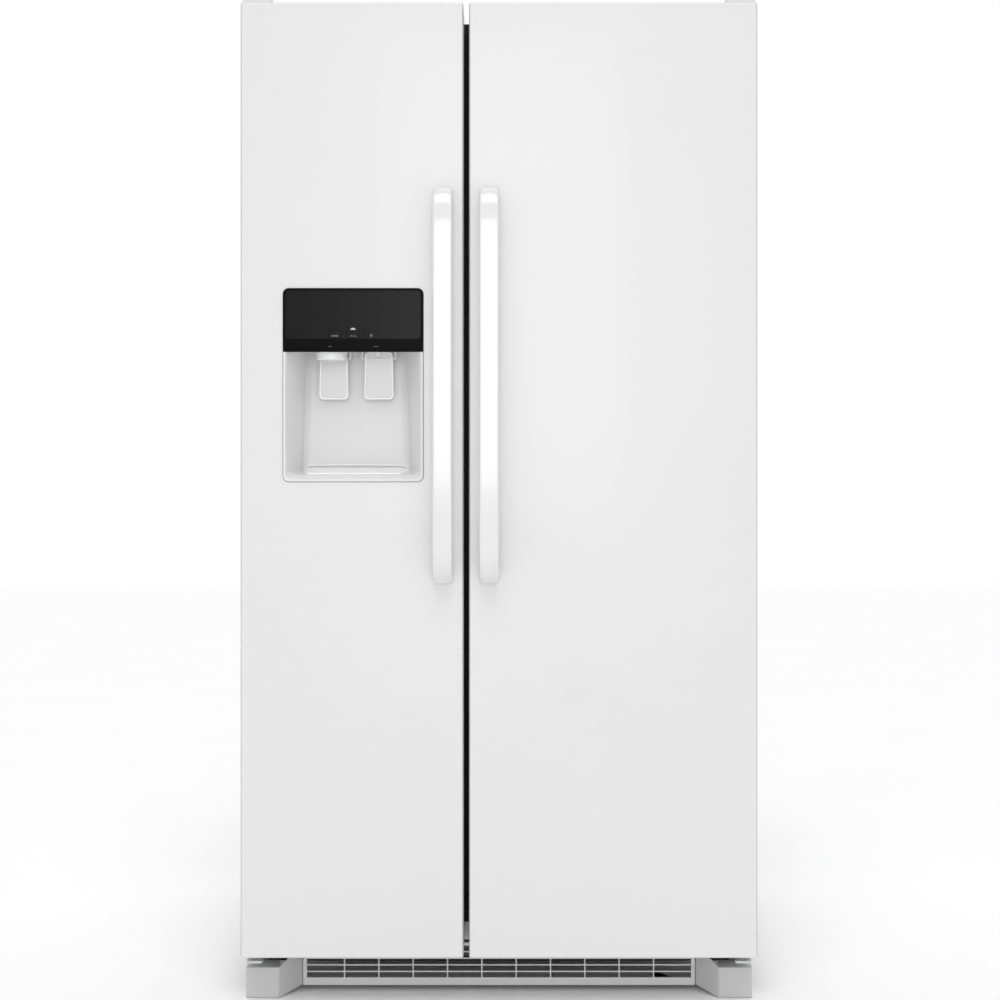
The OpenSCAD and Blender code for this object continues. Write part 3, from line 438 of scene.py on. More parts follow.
def finish_cad(node):
    """Gives a CAD node its material, smooth shading and a small bevel."""
    # The kick plate takes the lighter copy of kick_grey: painted light against the shade under the doors.
    material = KICK_GREY_PAINTED_LIGHT if node == "kick_plate" else MATERIALS[SLOT_OF[node]]
    edge = OTHER_EDGES.get(node, EDGE)
    obj = NODES[node]
    obj.data.materials.clear()
    obj.data.materials.append(material)
    for face in obj.data.polygons:
        face.use_smooth = True
        face.material_index = 0
    weld = obj.modifiers.new("weld", "WELD")
    weld.merge_threshold = 1e-6
    flat = obj.modifiers.new("flat", "DECIMATE")
    flat.decimate_type = "DISSOLVE"
    flat.angle_limit = math.radians(0.5)
    if edge:
        bevel = obj.modifiers.new("bevel", "BEVEL")
        bevel.width = edge * MM
        bevel.segments = 2
        bevel.limit_method = "ANGLE"
        bevel.angle_limit = math.radians(30)
    even_normals(obj)


# ---------------------------------------------------------------- doors

EDGE_R = 3.5 * MM


def make_door_skin(node, body):
    """A folded sheet door with soft front edges, and for the freezer the dispenser's hole."""
    lo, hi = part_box(node)
    bm = bmesh.new()
    add_box(bm, lo, hi, EDGE_R, 6, lambda e: not all(abs(v.co.y - hi.y) < 1e-6 for v in e.verts))
    obj = link(node + "_shell", bm)
    cut(obj, lo + Vector((1, 1, 4)) * MM, Vector((hi.x - 1 * MM, hi.y + 5 * MM, hi.z - 4 * MM)))
    if body == "freezer_door":
        lo_d, hi_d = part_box("dispenser_housing")
        cut(obj, (lo_d.x + 3 * MM, lo.y - 5 * MM, lo_d.z + 3 * MM),
            (hi_d.x - 3 * MM, lo.y + 5 * MM, hi_d.z + 2 * MM))
    piece(obj, body, "white_paint", node)


def make_handle(node, body):
    """A bowed bar with round edges, whose ends curve back to the door in slightly arched tips."""
    lo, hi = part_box(node)
    door_y = hi.y
    middle_x = (lo.x + hi.x) / 2
    middle_z = (lo.z + hi.z) / 2
    half = (hi.z - lo.z) / 2
    reach = door_y - lo.y
    half_w = (hi.x - lo.x) / 2
    edge = 3.5 * MM
    arch = 3.2 * MM
    count = 72

    def profile(x, shrink):
        drop = arch * (x / half_w) ** 2
        outer, inner = [], []
        for k in range(count + 1):
            t = math.sin(math.pi * (k / count - 0.5))
            bow = 1 - 0.1 * t * t
            far = half - shrink - drop
            y = door_y - (reach - shrink) * bow * math.sqrt(max(0, 1 - abs(t) ** 14))
            outer.append((middle_x + x, y, middle_z + far * t))
            near = half - 24 * MM + shrink
            y = door_y - (reach - 18 * MM + shrink) * bow * math.sqrt(max(0, 1 - abs(t) ** 10))
            inner.append((middle_x + x, y, middle_z + near * t))
        return outer + inner[::-1]

    columns = []
    for a in range(90, -1, -15):
        angle = math.radians(a)
        columns.append((-(half_w - edge) - edge * math.sin(angle), edge * (1 - math.cos(angle))))
    columns += [(x * (half_w - edge), 0.0) for x in (-0.6, -0.2, 0.2, 0.6)]
    columns += [(-x, s) for x, s in columns[6::-1]]
    bm = bmesh.new()
    rows = add_loft(bm, [profile(x, s) for x, s in columns])
    for row in (rows[0], rows[-1]):
        for k in range(count):
            bm.faces.new((row[k], row[k + 1], row[-2 - k], row[-1 - k]))
    obj = link(node + "_bar", bm, 50)
    piece(obj, body, "handle_white", node)


def make_gasket(node, body):
    """A bellows gasket: a base strip, two folds and the magnet tube."""
    lo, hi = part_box(node)
    width = 16 * MM
    section = [(0.0, 0.0), (0.0, 0.16), (0.18, 0.24), (0.10, 0.38), (0.20, 0.50), (0.12, 0.60),
               (0.16, 0.92), (0.28, 1.0), (0.72, 1.0), (0.84, 0.92), (0.88, 0.60), (0.80, 0.50),
               (0.90, 0.38), (0.82, 0.24), (1.0, 0.16), (1.0, 0.0)]
    bm = bmesh.new()
    rings = []
    for across, up in section:
        inset = across * width
        y = lo.y + up * (hi.y - lo.y)
        rings.append([(x, y, z) for x, z in rounded(
            lo.x + inset, hi.x - inset, lo.z + inset, hi.z - inset, 22 * MM - inset)])
    add_hoop(bm, rings)
    piece(link(node + "_bellows", bm, 60), body, "gasket_rubber", node)


def make_door_liner(node, body):
    """The inner sheet of a door with its formed dike, and the freezer's block behind the dispenser."""
    lo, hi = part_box(node)
    dike_lo, dike_hi = dike_box(node)
    sheet_y = lo.y + 2 * MM
    bm = bmesh.new()
    add_box(bm, lo, (hi.x, sheet_y, hi.z))
    sheet = link(node + "_sheet", bm)
    if body == "freezer_door":
        opening_top = 1.37
        lo_h, hi_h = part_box("dispenser_housing")
        cut(sheet, (lo_h.x + 4 * MM, lo.y - 5 * MM, lo_h.z),
            (hi_h.x - 4 * MM, lo.y + 5 * MM, opening_top))
    piece(sheet, body, "liner_plastic", node)
    outline = [(0, sheet_y - MM), (0, hi.y - 9 * MM), (1, hi.y - 5 * MM), (3.5, hi.y - 1.5 * MM),
               (7, hi.y), (15, hi.y), (18.5, hi.y - 1.5 * MM), (21, hi.y - 5 * MM),
               (22, hi.y - 9 * MM), (22, sheet_y - MM)]
    rings = []
    for inset, y in outline:
        x0, x1 = dike_lo.x + inset * MM, dike_hi.x - inset * MM
        z0, z1 = dike_lo.z + inset * MM, dike_hi.z - inset * MM
        rings.append([(x, y, z) for x, z in rounded(x0, x1, z0, z1, (30 - inset) * MM)])
    dike = bmesh.new()
    add_hoop(dike, rings)
    piece(link(node + "_dike", dike, 50), body, "liner_plastic")
    if body == "freezer_door":
        make_dispenser_block(dike_lo, dike_hi, sheet_y, hi.y)


def make_dispenser_block(dike_lo, dike_hi, sheet_y, dike_y):
    """The raised block behind the dispenser, with the ice duct's mouth in it."""
    foot_z, top_z = 0.905, 1.405
    mouth_low, mouth_high = 1.307, 1.381
    block_hi = Vector((dike_hi.x - 22.5 * MM, dike_y - 7 * MM, top_z))
    bm = bmesh.new()
    add_box(bm, (dike_lo.x + 22.5 * MM, sheet_y - MM, foot_z), block_hi, 10 * MM, 5,
            lambda e: any(v.co.y > block_hi.y - 1e-6 for v in e.verts))
    block = link("dispenser_block", bm, 50)
    lo_h, hi_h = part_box("dispenser_housing")
    cut(block, (lo_h.x, sheet_y - 9 * MM, lo_h.z), (hi_h.x, hi_h.y + 0.2 * MM, hi_h.z))
    lo_c, hi_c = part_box("ice_chute")
    cut(block, (lo_c.x + 2.5 * MM, hi_c.y - 60 * MM, mouth_low),
        (hi_c.x - 2.5 * MM, hi_c.y + 9 * MM, mouth_high))
    piece(block, "freezer_door", "liner_plastic")


def dike_box(node):
    """The dike's box: the part of the liner's mesh that stands up from its sheet."""
    _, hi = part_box(node)
    return box_around([v.co for v in NODES[node].data.vertices if v.co.y > hi.y - 1e-5])


# ---------------------------------------------------------------- dispenser

OUTLET_DEPTH = 26 * MM


def dispenser_sizes():
    """The sizes that the dispenser's pieces share, worked out from its CAD boxes."""
    lo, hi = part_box("dispenser_housing")
    panel_lo, panel_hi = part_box("dispenser_panel")
    skin_lo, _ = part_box("freezer_door_skin")
    return {
        "x": (lo.x + hi.x) / 2, "half": (hi.x - lo.x) / 2, "z0": lo.z, "panel_z": panel_lo.z,
        "top": panel_hi.z, "door_y": skin_lo.y, "face_y": panel_lo.y, "back_y": hi.y - 3 * MM,
        "ceiling": panel_lo.z + 6.5 * MM}


def u_ring(size, top_half, low_half, bottom, radius, y, steps=10):
    """A U-shaped open ring: down the left side, round the bottom, up the right side."""
    behind = y > size["door_y"] + 4 * MM
    x, top = size["x"], size["ceiling"] if behind else size["panel_z"] - 0.05 * MM
    low = bottom + radius
    left = [(x - top_half + (top_half - low_half) * k / 6, y, top - (top - low) * k / 6)
            for k in range(6)]
    points = list(left)
    for side, start in ((-1, 180), (1, 270)):
        for k in range(steps + 1):
            a = math.radians(start + 90 * k / steps)
            points.append((x + side * (low_half - radius) + radius * math.cos(a), y,
                           low + radius * math.sin(a)))
    points += [(2 * x - px, py, pz) for px, py, pz in reversed(left)]
    return points


def make_recess():
    """The bezel rim and the recess behind it, as one moulding.

    The walls taper to the back and turn through a cove into the back wall, and the floor sweeps up.
    """
    s = dispenser_sizes()
    door_y, z0 = s["door_y"], s["z0"]
    rings = []
    for inset, radius, y in ((0, 10, 0.3), (0, 10, -1.2), (0.8, 9.4, -2), (2.6, 8, -2),
                             (3.6, 7.6, -1.6), (4.4, 7.6, -0.6), (5.2, 8, 0.8)):
        half = s["half"] - inset * MM
        rings.append(u_ring(s, half, half, z0 + inset * MM, radius * MM, door_y + y * MM))
    depth = (s["back_y"] - door_y) / MM
    mouth_half, top_taper, low_taper, cove = 117.2, 25, 19, 17
    sweep_start = 66
    for k in range(21):
        walls = min(k, 10) / 10
        turn = math.radians(90 * max(0, k - 10) / 10)
        d = 2 + (depth - cove - 2) * walls + cove * math.sin(turn)
        fold = 16 * (1 - math.cos(turn))
        top_half = mouth_half - top_taper * walls - fold
        low_half = mouth_half - low_taper * walls - fold
        sweep = max(0, (d - sweep_start) / (depth - sweep_start)) ** 2
        up = 5.6 + 7 * min(1, (d - 2) / 12) + 14 * sweep + 0.5 * fold
        rings.append(u_ring(s, top_half * MM, low_half * MM, z0 + up * MM, (9 + 0.2 * fold) * MM,
                            door_y + d * MM))
    bm = bmesh.new()
    rows = add_loft(bm, rings, closed=False)
    bm.faces.new(rows[-1])
    obj = link("dispenser_recess", bm, 60)
    solidify(obj, 1.7 * MM, -1.0 if faces_out(obj) else 1.0)
    piece(obj, "freezer_door", "dispenser_grey", "dispenser_housing")


def faces_out(obj):
    """True if the recess's back wall looks to the front."""
    back = max(obj.data.polygons, key=lambda f: f.center.y)
    return back.normal.y < 0


def make_recess_ceiling():
    """The recess's ceiling with the ice outlet's hole, and the sill along its front."""
    s = dispenser_sizes()
    half = 117 * MM
    ceiling = bmesh.new()
    add_box(ceiling, (s["x"] - half, s["door_y"] + 4 * MM, s["ceiling"]),
            (s["x"] + half, s["back_y"], s["ceiling"] + 3 * MM))
    top = link("dispenser_ceiling", ceiling)
    lo_c, hi_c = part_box("ice_chute")
    hole = bmesh.new()
    bmesh.ops.create_cone(hole, cap_ends=True, segments=48, radius1=26 * MM, radius2=26 * MM,
                          depth=20 * MM, matrix=Matrix.Translation(
                              ((lo_c.x + hi_c.x) / 2, lo_c.y + OUTLET_DEPTH, s["ceiling"])))
    cut_by(top, link("hole", hole))
    piece(top, "freezer_door", "dispenser_grey")
    sill = bmesh.new()
    add_box(sill, (s["x"] - half, s["door_y"] + 1.2 * MM, s["panel_z"] + 0.1 * MM),
            (s["x"] + half, s["door_y"] + 4.2 * MM, s["ceiling"] + 3 * MM))
    piece(link("dispenser_sill", sill), "freezer_door", "dispenser_grey")


def make_recess_ledge():
    """The round ledge along the foot of the recess's back wall, in the lighter rim grey: a painted
    highlight line.
    """
    s = dispenser_sizes()
    ledge = bmesh.new()
    half_line = [(0, 5.6), (74, 5.2), (84, 4.6), (89.5, 2.6), (91, 0)]
    line = [(-u, v) for u, v in half_line[:0:-1]] + half_line
    add_tube(ledge, [(s["x"] + u * MM, s["back_y"] - 3.4 * MM, s["z0"] + (25 + v) * MM)
                     for u, v in line], 1.3 * MM)
    piece(link("recess_ledge", ledge, 60), "freezer_door", "dispenser_grey", material=RIM_HIGHLIGHT_GREY)


def make_bezel_shadow_line():
    """The thin dark line where the bezel meets the door: a painted shadow standing in for the shade in
    the gap between them.
    """
    s = dispenser_sizes()
    bm = bmesh.new()
    rings = []
    for grow, y in ((0.9, 0.2), (0.9, -0.35), (-1.5, -0.35), (-1.5, 0.2)):
        rings.append([(x, s["door_y"] + y * MM, z) for x, z in rounded(
            s["x"] - s["half"] - grow * MM, s["x"] + s["half"] + grow * MM,
            s["z0"] - grow * MM, s["top"] + grow * MM, (10 + grow) * MM, 8)])
    add_hoop(bm, rings)
    # Painted shadow: a dark grey ring in place of the shade in the gap at the bezel's edge.
    piece(link("bezel_painted_shadow", bm), "freezer_door", "gasket_rubber",
          material=surface("bezel_shadow_grey", grey(0.10), grey(0.14), 30, 0.5))


def make_panel():
    """The control panel: a dark frame with an angled lower band, darkened further as painted shade
    because the band faces down, and a glossy face plate set in it.
    """
    s = dispenser_sizes()
    x, half, door_y, face_y = s["x"], s["half"], s["door_y"], s["face_y"]
    band_z = s["panel_z"] + 21 * MM
    bm = bmesh.new()

    def ring(inset, y, low_y):
        left, right = x - half + inset, x + half - inset
        low, high, r = s["panel_z"], s["top"] - inset, 10 * MM - inset
        points = [(left, low_y, low), (right, low_y, low), (right, y, band_z)]
        for cx, start in ((right - r, 0), (left + r, 90)):
            for k in range(9):
                a = math.radians(start + 90 * k / 8)
                points.append((cx + r * math.cos(a), y, high - r + r * math.sin(a)))
        points.append((left, y, band_z))
        return points

    front = face_y + 0.5 * MM
    low_front = door_y - 0.7 * MM
    rings = [ring(0, door_y + 1 * MM, door_y + 1 * MM), ring(0, front + 1 * MM, low_front + 0.6 * MM),
             ring(1 * MM, front, low_front)]
    rows = add_loft(bm, rings, cap_start=True)
    last = rows[-1]
    bm.faces.new((last[0], last[1], last[2], last[-1]))
    bm.faces.new(last[2:])
    piece(link("panel_frame", bm, 30), "freezer_door", "panel_black", "dispenser_panel",
          material=FRAME_BLACK_SHADED)
    plate = bmesh.new()
    loops = []
    for inset, y in ((4.0, front + 0.3 * MM), (4.0, face_y + 0.25 * MM), (4.5, face_y)):
        i = inset * MM
        loops.append([(px, y, pz) for px, pz in rounded(
            x - half + i, x + half - i, band_z + i - 2.5 * MM, s["top"] - i, 11 * MM - i, 8)])
    add_loft(plate, loops, cap_start=True, cap_end=True)
    obj = link("panel_face", plate, 30)
    for key in ("key_cubes", "key_crushed", "key_light"):
        lo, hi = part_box(key)
        cut(obj, lo - Vector((0.25, 2, 0.25)) * MM, hi + Vector((0.25, 2, 0.25)) * MM)
    piece(obj, "freezer_door", "panel_black")


def flat_mark(name, outlines, y, body, material):
    """A printed mark: thin raised outlines on a face that looks to the front."""
    bm = bmesh.new()
    for outline in outlines:
        add_loft(bm, [[(x, y, z) for x, z in outline], [(x, y - 0.05 * MM, z) for x, z in outline]],
                 cap_start=True, cap_end=True)
    piece(link(name, bm), body, "panel_black", material=material)


def square_mark(x, z, size):
    """A small square with round corners."""
    return rounded(x - size / 2, x + size / 2, z - size / 2, z + size / 2, size * 0.15, 2)


def disc_mark(x, z, radius, steps=20):
    """A small round dot."""
    turns = [2 * math.pi * k / steps for k in range(steps)]
    return [(x + radius * math.cos(a), z + radius * math.sin(a)) for a in turns]


def make_marks():
    """Plain symbols on the keys and the angled band, and the small lamp over the middle key."""
    s = dispenser_sizes()
    y = s["face_y"] - 0.01 * MM
    for key in ("key_cubes", "key_crushed", "key_light"):
        lo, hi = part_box(key)
        x, z = (lo.x + hi.x) / 2, (lo.z + hi.z) / 2 - 2 * MM
        if key == "key_cubes":
            shapes = [square_mark(x + i * 4.2 * MM, z, 2.9 * MM) for i in (-1, 0, 1)]
        elif key == "key_crushed":
            shapes = [disc_mark(x + i * 2.4 * MM, z + (i % 2 - 0.5) * 1.6 * MM, 0.85 * MM)
                      for i in (-2, -1, 0, 1, 2)]
        else:
            shapes = [disc_mark(x, z + 1.2 * MM, 2.0 * MM), square_mark(x, z - 2.2 * MM, 1.7 * MM)]
        flat_mark(key + "_mark", shapes, y, key, PRINT_GREY)
    lamp_z = s["panel_z"] + 40.3 * MM
    lamp_corners = ((-5.2, -1.6), (5.2, -1.6), (2.2, 1.6), (-2.2, 1.6))
    lamp = [(s["x"] + u * MM, lamp_z + v * MM) for u, v in lamp_corners]
    flat_mark("ready_lamp", [lamp], y, "freezer_door", LED_WHITE)
    mark_z = s["panel_z"] + 9.4 * MM
    low_y, high_y = s["door_y"] - 0.7 * MM, s["face_y"] + 0.5 * MM
    band_y = low_y + (high_y - low_y) * 9.4 / 21 - 0.05 * MM
    paddles = [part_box("ice_paddle"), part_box("water_paddle")]
    for (lo, hi), name in zip(paddles, ("ice_mark", "water_mark")):
        x = (lo.x + hi.x) / 2
        spread = (-1, 0, 1) if name == "water_mark" else (-0.5, 0.5)
        shapes = [disc_mark(x + i * 3.2 * MM, mark_z, 0.8 * MM) for i in spread]
        flat_mark(name, shapes, band_y, "freezer_door", PRINT_GREY)


def make_paddle(node):
    """A hinged paddle: a grey plate in a raised rim painted lighter as a highlight, with its pivot rod
    behind.
    """
    lo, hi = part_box(node)
    x = (lo.x + hi.x) / 2
    half = 26.75 * MM
    front = lo.y
    top = dispenser_sizes()["ceiling"] - 0.9 * MM if node == "water_paddle" else hi.z - 0.5 * MM
    axis_y, axis_z = lo.y + 2.5 * MM, hi.z - 3 * MM

    def ring(inset, y, radius):
        i, r = inset * MM, radius * MM
        taper = 1.5 * MM
        points = []
        for px, pz in rounded(x - half + i, x + half - i, lo.z + i, top - 0.3 * i, r, 8):
            high = (pz - lo.z) / (top - lo.z)
            points.append((px - math.copysign(taper * high, px - x), y, pz))
        return points

    rim = bmesh.new()
    loops = [ring(0, front + 3.5 * MM, 8), ring(0, front + 1.2 * MM, 8), ring(0.4, front + 0.4 * MM, 7.7),
             ring(1.2, front, 7.2), ring(2.8, front, 6.2), ring(3.6, front + 0.4 * MM, 5.6),
             ring(4.2, front + 1.4 * MM, 5.2), ring(4.2, front + 3.5 * MM, 5.2)]
    add_hoop(rim, loops)
    piece(link(node + "_rim", rim, 50), node, "dispenser_grey", node, material=RIM_HIGHLIGHT_GREY)
    blade = bmesh.new()
    add_loft(blade, [ring(3.9, front + 3.2 * MM, 5), ring(3.9, front + 1.9 * MM, 5),
                     ring(9, front + 1.6 * MM, 4)], cap_start=True, cap_end=True)
    add_tube(blade, [(lo.x, axis_y, axis_z), (hi.x, axis_y, axis_z)], 2 * MM, 16)
    piece(link(node + "_blade", blade, 50), node, "dispenser_grey")


def make_ice_lip():
    """The ice outlet's collared and flared lip, painted lighter as a highlight."""
    lo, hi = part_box("ice_chute")
    bm = bmesh.new()
    outline = [(24.8, 18), (24.8, 11.4), (25.8, 10.8), (25.8, 9.4), (24.8, 8.6), (24.8, 3.2),
               (25.4, 1.8), (26.4, 0.9), (26.4, -0.6), (25.8, -1.4), (24.4, -1.4), (23.5, -0.2),
               (23.5, 18)]
    add_lathe(bm, [(r * MM, z * MM) for r, z in outline],
              ((lo.x + hi.x) / 2, lo.y + OUTLET_DEPTH, lo.z + 1.6 * MM))
    piece(link("ice_outlet_lip", bm, 60), "freezer_door", "dispenser_grey", material=RIM_HIGHLIGHT_GREY)


def make_water_nozzle():
    """The water outlet's stepped nozzle, over the water paddle."""
    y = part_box("ice_chute")[0].y + OUTLET_DEPTH
    lo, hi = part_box("water_paddle")
    nozzle = bmesh.new()
    spout = [(6.5, 7), (6.5, -0.5), (5, -2), (5, -4.5), (4.4, -5), (2.4, -5), (2.4, 7)]
    add_lathe(nozzle, [(r * MM, z * MM) for r, z in spout],
              ((lo.x + hi.x) / 2, y + 8 * MM, dispenser_sizes()["panel_z"]), steps=32)
    piece(link("water_nozzle", nozzle, 50), "freezer_door", "dispenser_grey")


def make_paddle_bosses():
    """The bosses under the ceiling that carry the paddles' pivot rods."""
    top = dispenser_sizes()["ceiling"] + MM
    bosses = bmesh.new()
    for node in ("ice_paddle", "water_paddle"):
        lo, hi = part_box(node)
        for a, b in ((lo.x - 0.4 * MM, lo.x + 2.8 * MM), (hi.x - 2.8 * MM, hi.x + 0.4 * MM)):
            add_box(bosses, (a, lo.y - 1 * MM, hi.z - 6 * MM), (b, lo.y + 7 * MM, top), 1 * MM, 3)
    piece(link("paddle_bosses", bosses, 50), "freezer_door", "dispenser_grey")


def make_drip_tray():
    """A shallow tray on the recess's floor: a grille of slots inside a rounded rim painted lighter as a
    highlight.
    """
    lo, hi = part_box("drip_tray")
    rim = bmesh.new()
    loops = []
    for inset, z in ((1.2, lo.z), (0, lo.z + 1.2 * MM), (0, hi.z - 1.4 * MM), (0.5, hi.z - 0.4 * MM),
                     (1.4, hi.z), (2.6, hi.z - 0.2 * MM), (3.6, hi.z - 1.4 * MM), (3.6, lo.z)):
        i = inset * MM
        loops.append([(px, py, z) for px, py in rounded(
            lo.x + i, hi.x - i, lo.y + i, hi.y - i, 9 * MM - i, 8)])
    add_hoop(rim, loops)
    piece(link("drip_tray_rim", rim, 50), "freezer_door", "dispenser_grey", "drip_tray",
          material=RIM_HIGHLIGHT_GREY)
    grille = bmesh.new()
    add_box(grille, (lo.x + 3 * MM, lo.y + 3 * MM, lo.z + MM),
            (hi.x - 3 * MM, hi.y - 3 * MM, hi.z - 1.4 * MM))
    obj = link("drip_tray_grille", grille, 50)
    slots = bmesh.new()
    middle = (lo.x + hi.x) / 2
    for i in range(-9, 10):
        x = middle + i * 8.4 * MM
        add_box(slots, (x - 2.4 * MM, lo.y + 8 * MM, lo.z - MM),
                (x + 2.4 * MM, hi.y - 8 * MM, hi.z + MM), 2 * MM, 3,
                lambda e: abs(e.verts[0].co.z - e.verts[1].co.z) > 4 * MM)
    cut_by(obj, link("slots", slots))
    piece(obj, "freezer_door", "dispenser_grey")


# ---------------------------------------------------------------- cabinet

def make_wrap():
    """The painted steel wrap: sides and top with round corners, and its folded front flange."""
    lo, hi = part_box("cabinet_wrap")
    corner = 3 * MM

    def arch(inset, y):
        left, right, top = lo.x + inset, hi.x - inset, hi.z - inset
        r = max(1 * MM, corner - inset)
        points = [(left, y, lo.z)]
        for cx, start, sign in ((left + r, 180, -1), (right - r, 90, -1)):
            for k in range(9):
                a = math.radians(start + sign * 90 * k / 8)
                points.append((cx + r * math.cos(a), y, top - r + r * math.sin(a)))
        points.append((right, y, lo.z))
        return points

    bm = bmesh.new()
    rings = [arch(0, hi.y), arch(0, lo.y + 3 * MM), arch(0.3 * MM, lo.y + 1.6 * MM),
             arch(1.0 * MM, lo.y + 0.6 * MM), arch(2.2 * MM, lo.y), arch(40 * MM, lo.y)]
    add_loft(bm, rings, closed=False)
    obj = link("cabinet_shell", bm, 40)
    inward = obj.data.polygons[0]
    outside = inward.normal.x * inward.center.x + inward.normal.z * (inward.center.z - 1) > 0
    solidify(obj, 0.8 * MM, -1.0 if outside else 1.0)
    mullion_lo, mullion_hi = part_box("mullion_cover")
    cut(obj, (mullion_lo.x - 0.2 * MM, lo.y - 5 * MM, hi.z - 60 * MM),
        (mullion_hi.x + 0.2 * MM, lo.y + 2 * MM, hi.z - 1.2 * MM))
    piece(obj, "cabinet", "white_paint", "cabinet_wrap")


def make_lower_flange():
    """The cabinet's front flange under the compartments, open for the mullion's foot."""
    lo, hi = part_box("cabinet_wrap")
    mullion_lo, mullion_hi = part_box("mullion_cover")
    flange = bmesh.new()
    flange_z, liner_z = 93 * MM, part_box("fridge_liner")[0].z
    add_box(flange, (lo.x + 39 * MM, lo.y, flange_z), (hi.x - 39 * MM, lo.y + MM, liner_z))
    bottom = link("lower_flange", flange)
    cut(bottom, (mullion_lo.x, lo.y - 5 * MM, mullion_lo.z - 0.5 * MM),
        (mullion_hi.x, lo.y + 5 * MM, liner_z + 50 * MM))
    piece(bottom, "cabinet", "white_paint")


def make_compartment(node, left_lip, right_lip):
    """A formed compartment liner with round inner corners, the machine step and its shelf ledges."""
    lo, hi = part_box(node)
    x0, x1 = lo.x + left_lip, hi.x - right_lip
    floor_z, ceil_z, back_y = lo.z + 2 * MM, ceiling_height(), hi.y - 2 * MM
    step_y, step_z = 0.160, 0.370
    bm = bmesh.new()

    def ring(y, z0, inset, r):
        return [(x, y, z) for x, z in rounded(x0 + inset, x1 - inset, z0 + inset, ceil_z - inset, r, 6)]

    lip = [(x, lo.y, z) for x, z in rounded(lo.x, hi.x, lo.z, hi.z, 1 * MM, 6)]
    rings = [lip, ring(lo.y, floor_z, -1.5 * MM, 14 * MM),
             ring(lo.y + 0.7 * MM, floor_z, -0.4 * MM, 14 * MM),
             ring(lo.y + 2 * MM, floor_z, 0, 14 * MM), ring(step_y - 8 * MM, floor_z, 0, 16 * MM),
             ring(step_y - 2 * MM, floor_z + 2 * MM, 0, 16 * MM),
             ring(step_y, floor_z + 9 * MM, 0, 16 * MM),
             ring(step_y + 0.5 * MM, step_z - 34 * MM, 0, 16 * MM),
             ring(step_y + 4 * MM, step_z - 24 * MM, 0, 16 * MM),
             ring(step_y + 28 * MM, step_z - 3 * MM, 0, 16 * MM),
             ring(step_y + 34 * MM, step_z, 0, 16 * MM), ring(back_y - 12 * MM, step_z, 0, 16 * MM)]
    for inset, back in ((1, 7), (4, 3), (8, 0.8), (12, 0)):
        rings.append(ring(back_y - back * MM, step_z, inset * MM, max(4, 16 - inset) * MM))
    rows = add_loft(bm, rings)
    bm.faces.new(rows[-1])
    obj = link(node + "_form", bm, 50)
    piece(obj, "cabinet", "liner_plastic", node)
    make_ledges(node, x0, x1, back_y - 60 * MM)


def make_ledges(node, x0, x1, back):
    """The ledges on a compartment's side walls that carry its shelves."""
    ledges = bmesh.new()
    for z in shelf_heights(node):
        for a, b in ((x0 - MM, x0 + 6 * MM), (x1 - 6 * MM, x1 + MM)):
            add_box(ledges, (a, shelf_front(), z - 8 * MM), (b, back, z - 0.2 * MM), 2.5 * MM, 3)
    piece(link(node + "_ledges", ledges, 50), "cabinet", "liner_plastic")


def ceiling_height():
    """The height of both compartments' ceilings."""
    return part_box("fridge_liner")[1].z - 10 * MM


def shelf_heights(node):
    """The heights of the ledges' tops in a CAD liner: its level faces away from floor and ceiling."""
    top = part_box(node)[1].z - 0.05
    levels = {round(v.co.z, 4) for v in NODES[node].data.vertices
              if abs(v.co.y - shelf_front()) < 1e-5 and 0.30 < v.co.z < top}
    return sorted(levels)[1::2]


def shelf_front():
    """The depth at which the shelves and their ledges begin."""
    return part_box("glass_shelves")[0].y


def make_glass_shelves():
    """Glass panes in plastic frames with a round front nose."""
    lo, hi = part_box("glass_shelves")
    crisper_height, shelf_back = 0.5, 0.335
    panes, frames = bmesh.new(), bmesh.new()
    for z in shelf_heights("fridge_liner"):
        cover = z < crisper_height
        thick = 8 * MM if cover else 12 * MM
        back = hi.y if cover else shelf_back
        rim = 14 * MM
        inset = rim - 3 * MM
        add_box(panes, (lo.x + inset, lo.y + inset, z + thick - 6 * MM),
                (hi.x - inset, back - inset, z + thick - 2 * MM), 0.6 * MM, 2)
        nose = thick / 2 - 0.5 * MM
        add_box(frames, (lo.x, lo.y, z), (hi.x, lo.y + rim + 6 * MM, z + thick), nose, 5,
                lambda e: all(v.co.y < lo.y + 1e-6 for v in e.verts))
        add_box(frames, (lo.x, back - rim, z), (hi.x, back, z + thick), 1.5 * MM, 2)
        for a, b in ((lo.x, lo.x + rim), (hi.x - rim, hi.x)):
            add_box(frames, (a, lo.y + rim, z), (b, back - rim + MM, z + thick), 1.5 * MM, 2)
    piece(link("shelf_panes", panes), "cabinet", "shelf_glass", "glass_shelves")
    piece(link("shelf_frames", frames, 50), "cabinet", "liner_plastic", material=SHELF_FRAME)


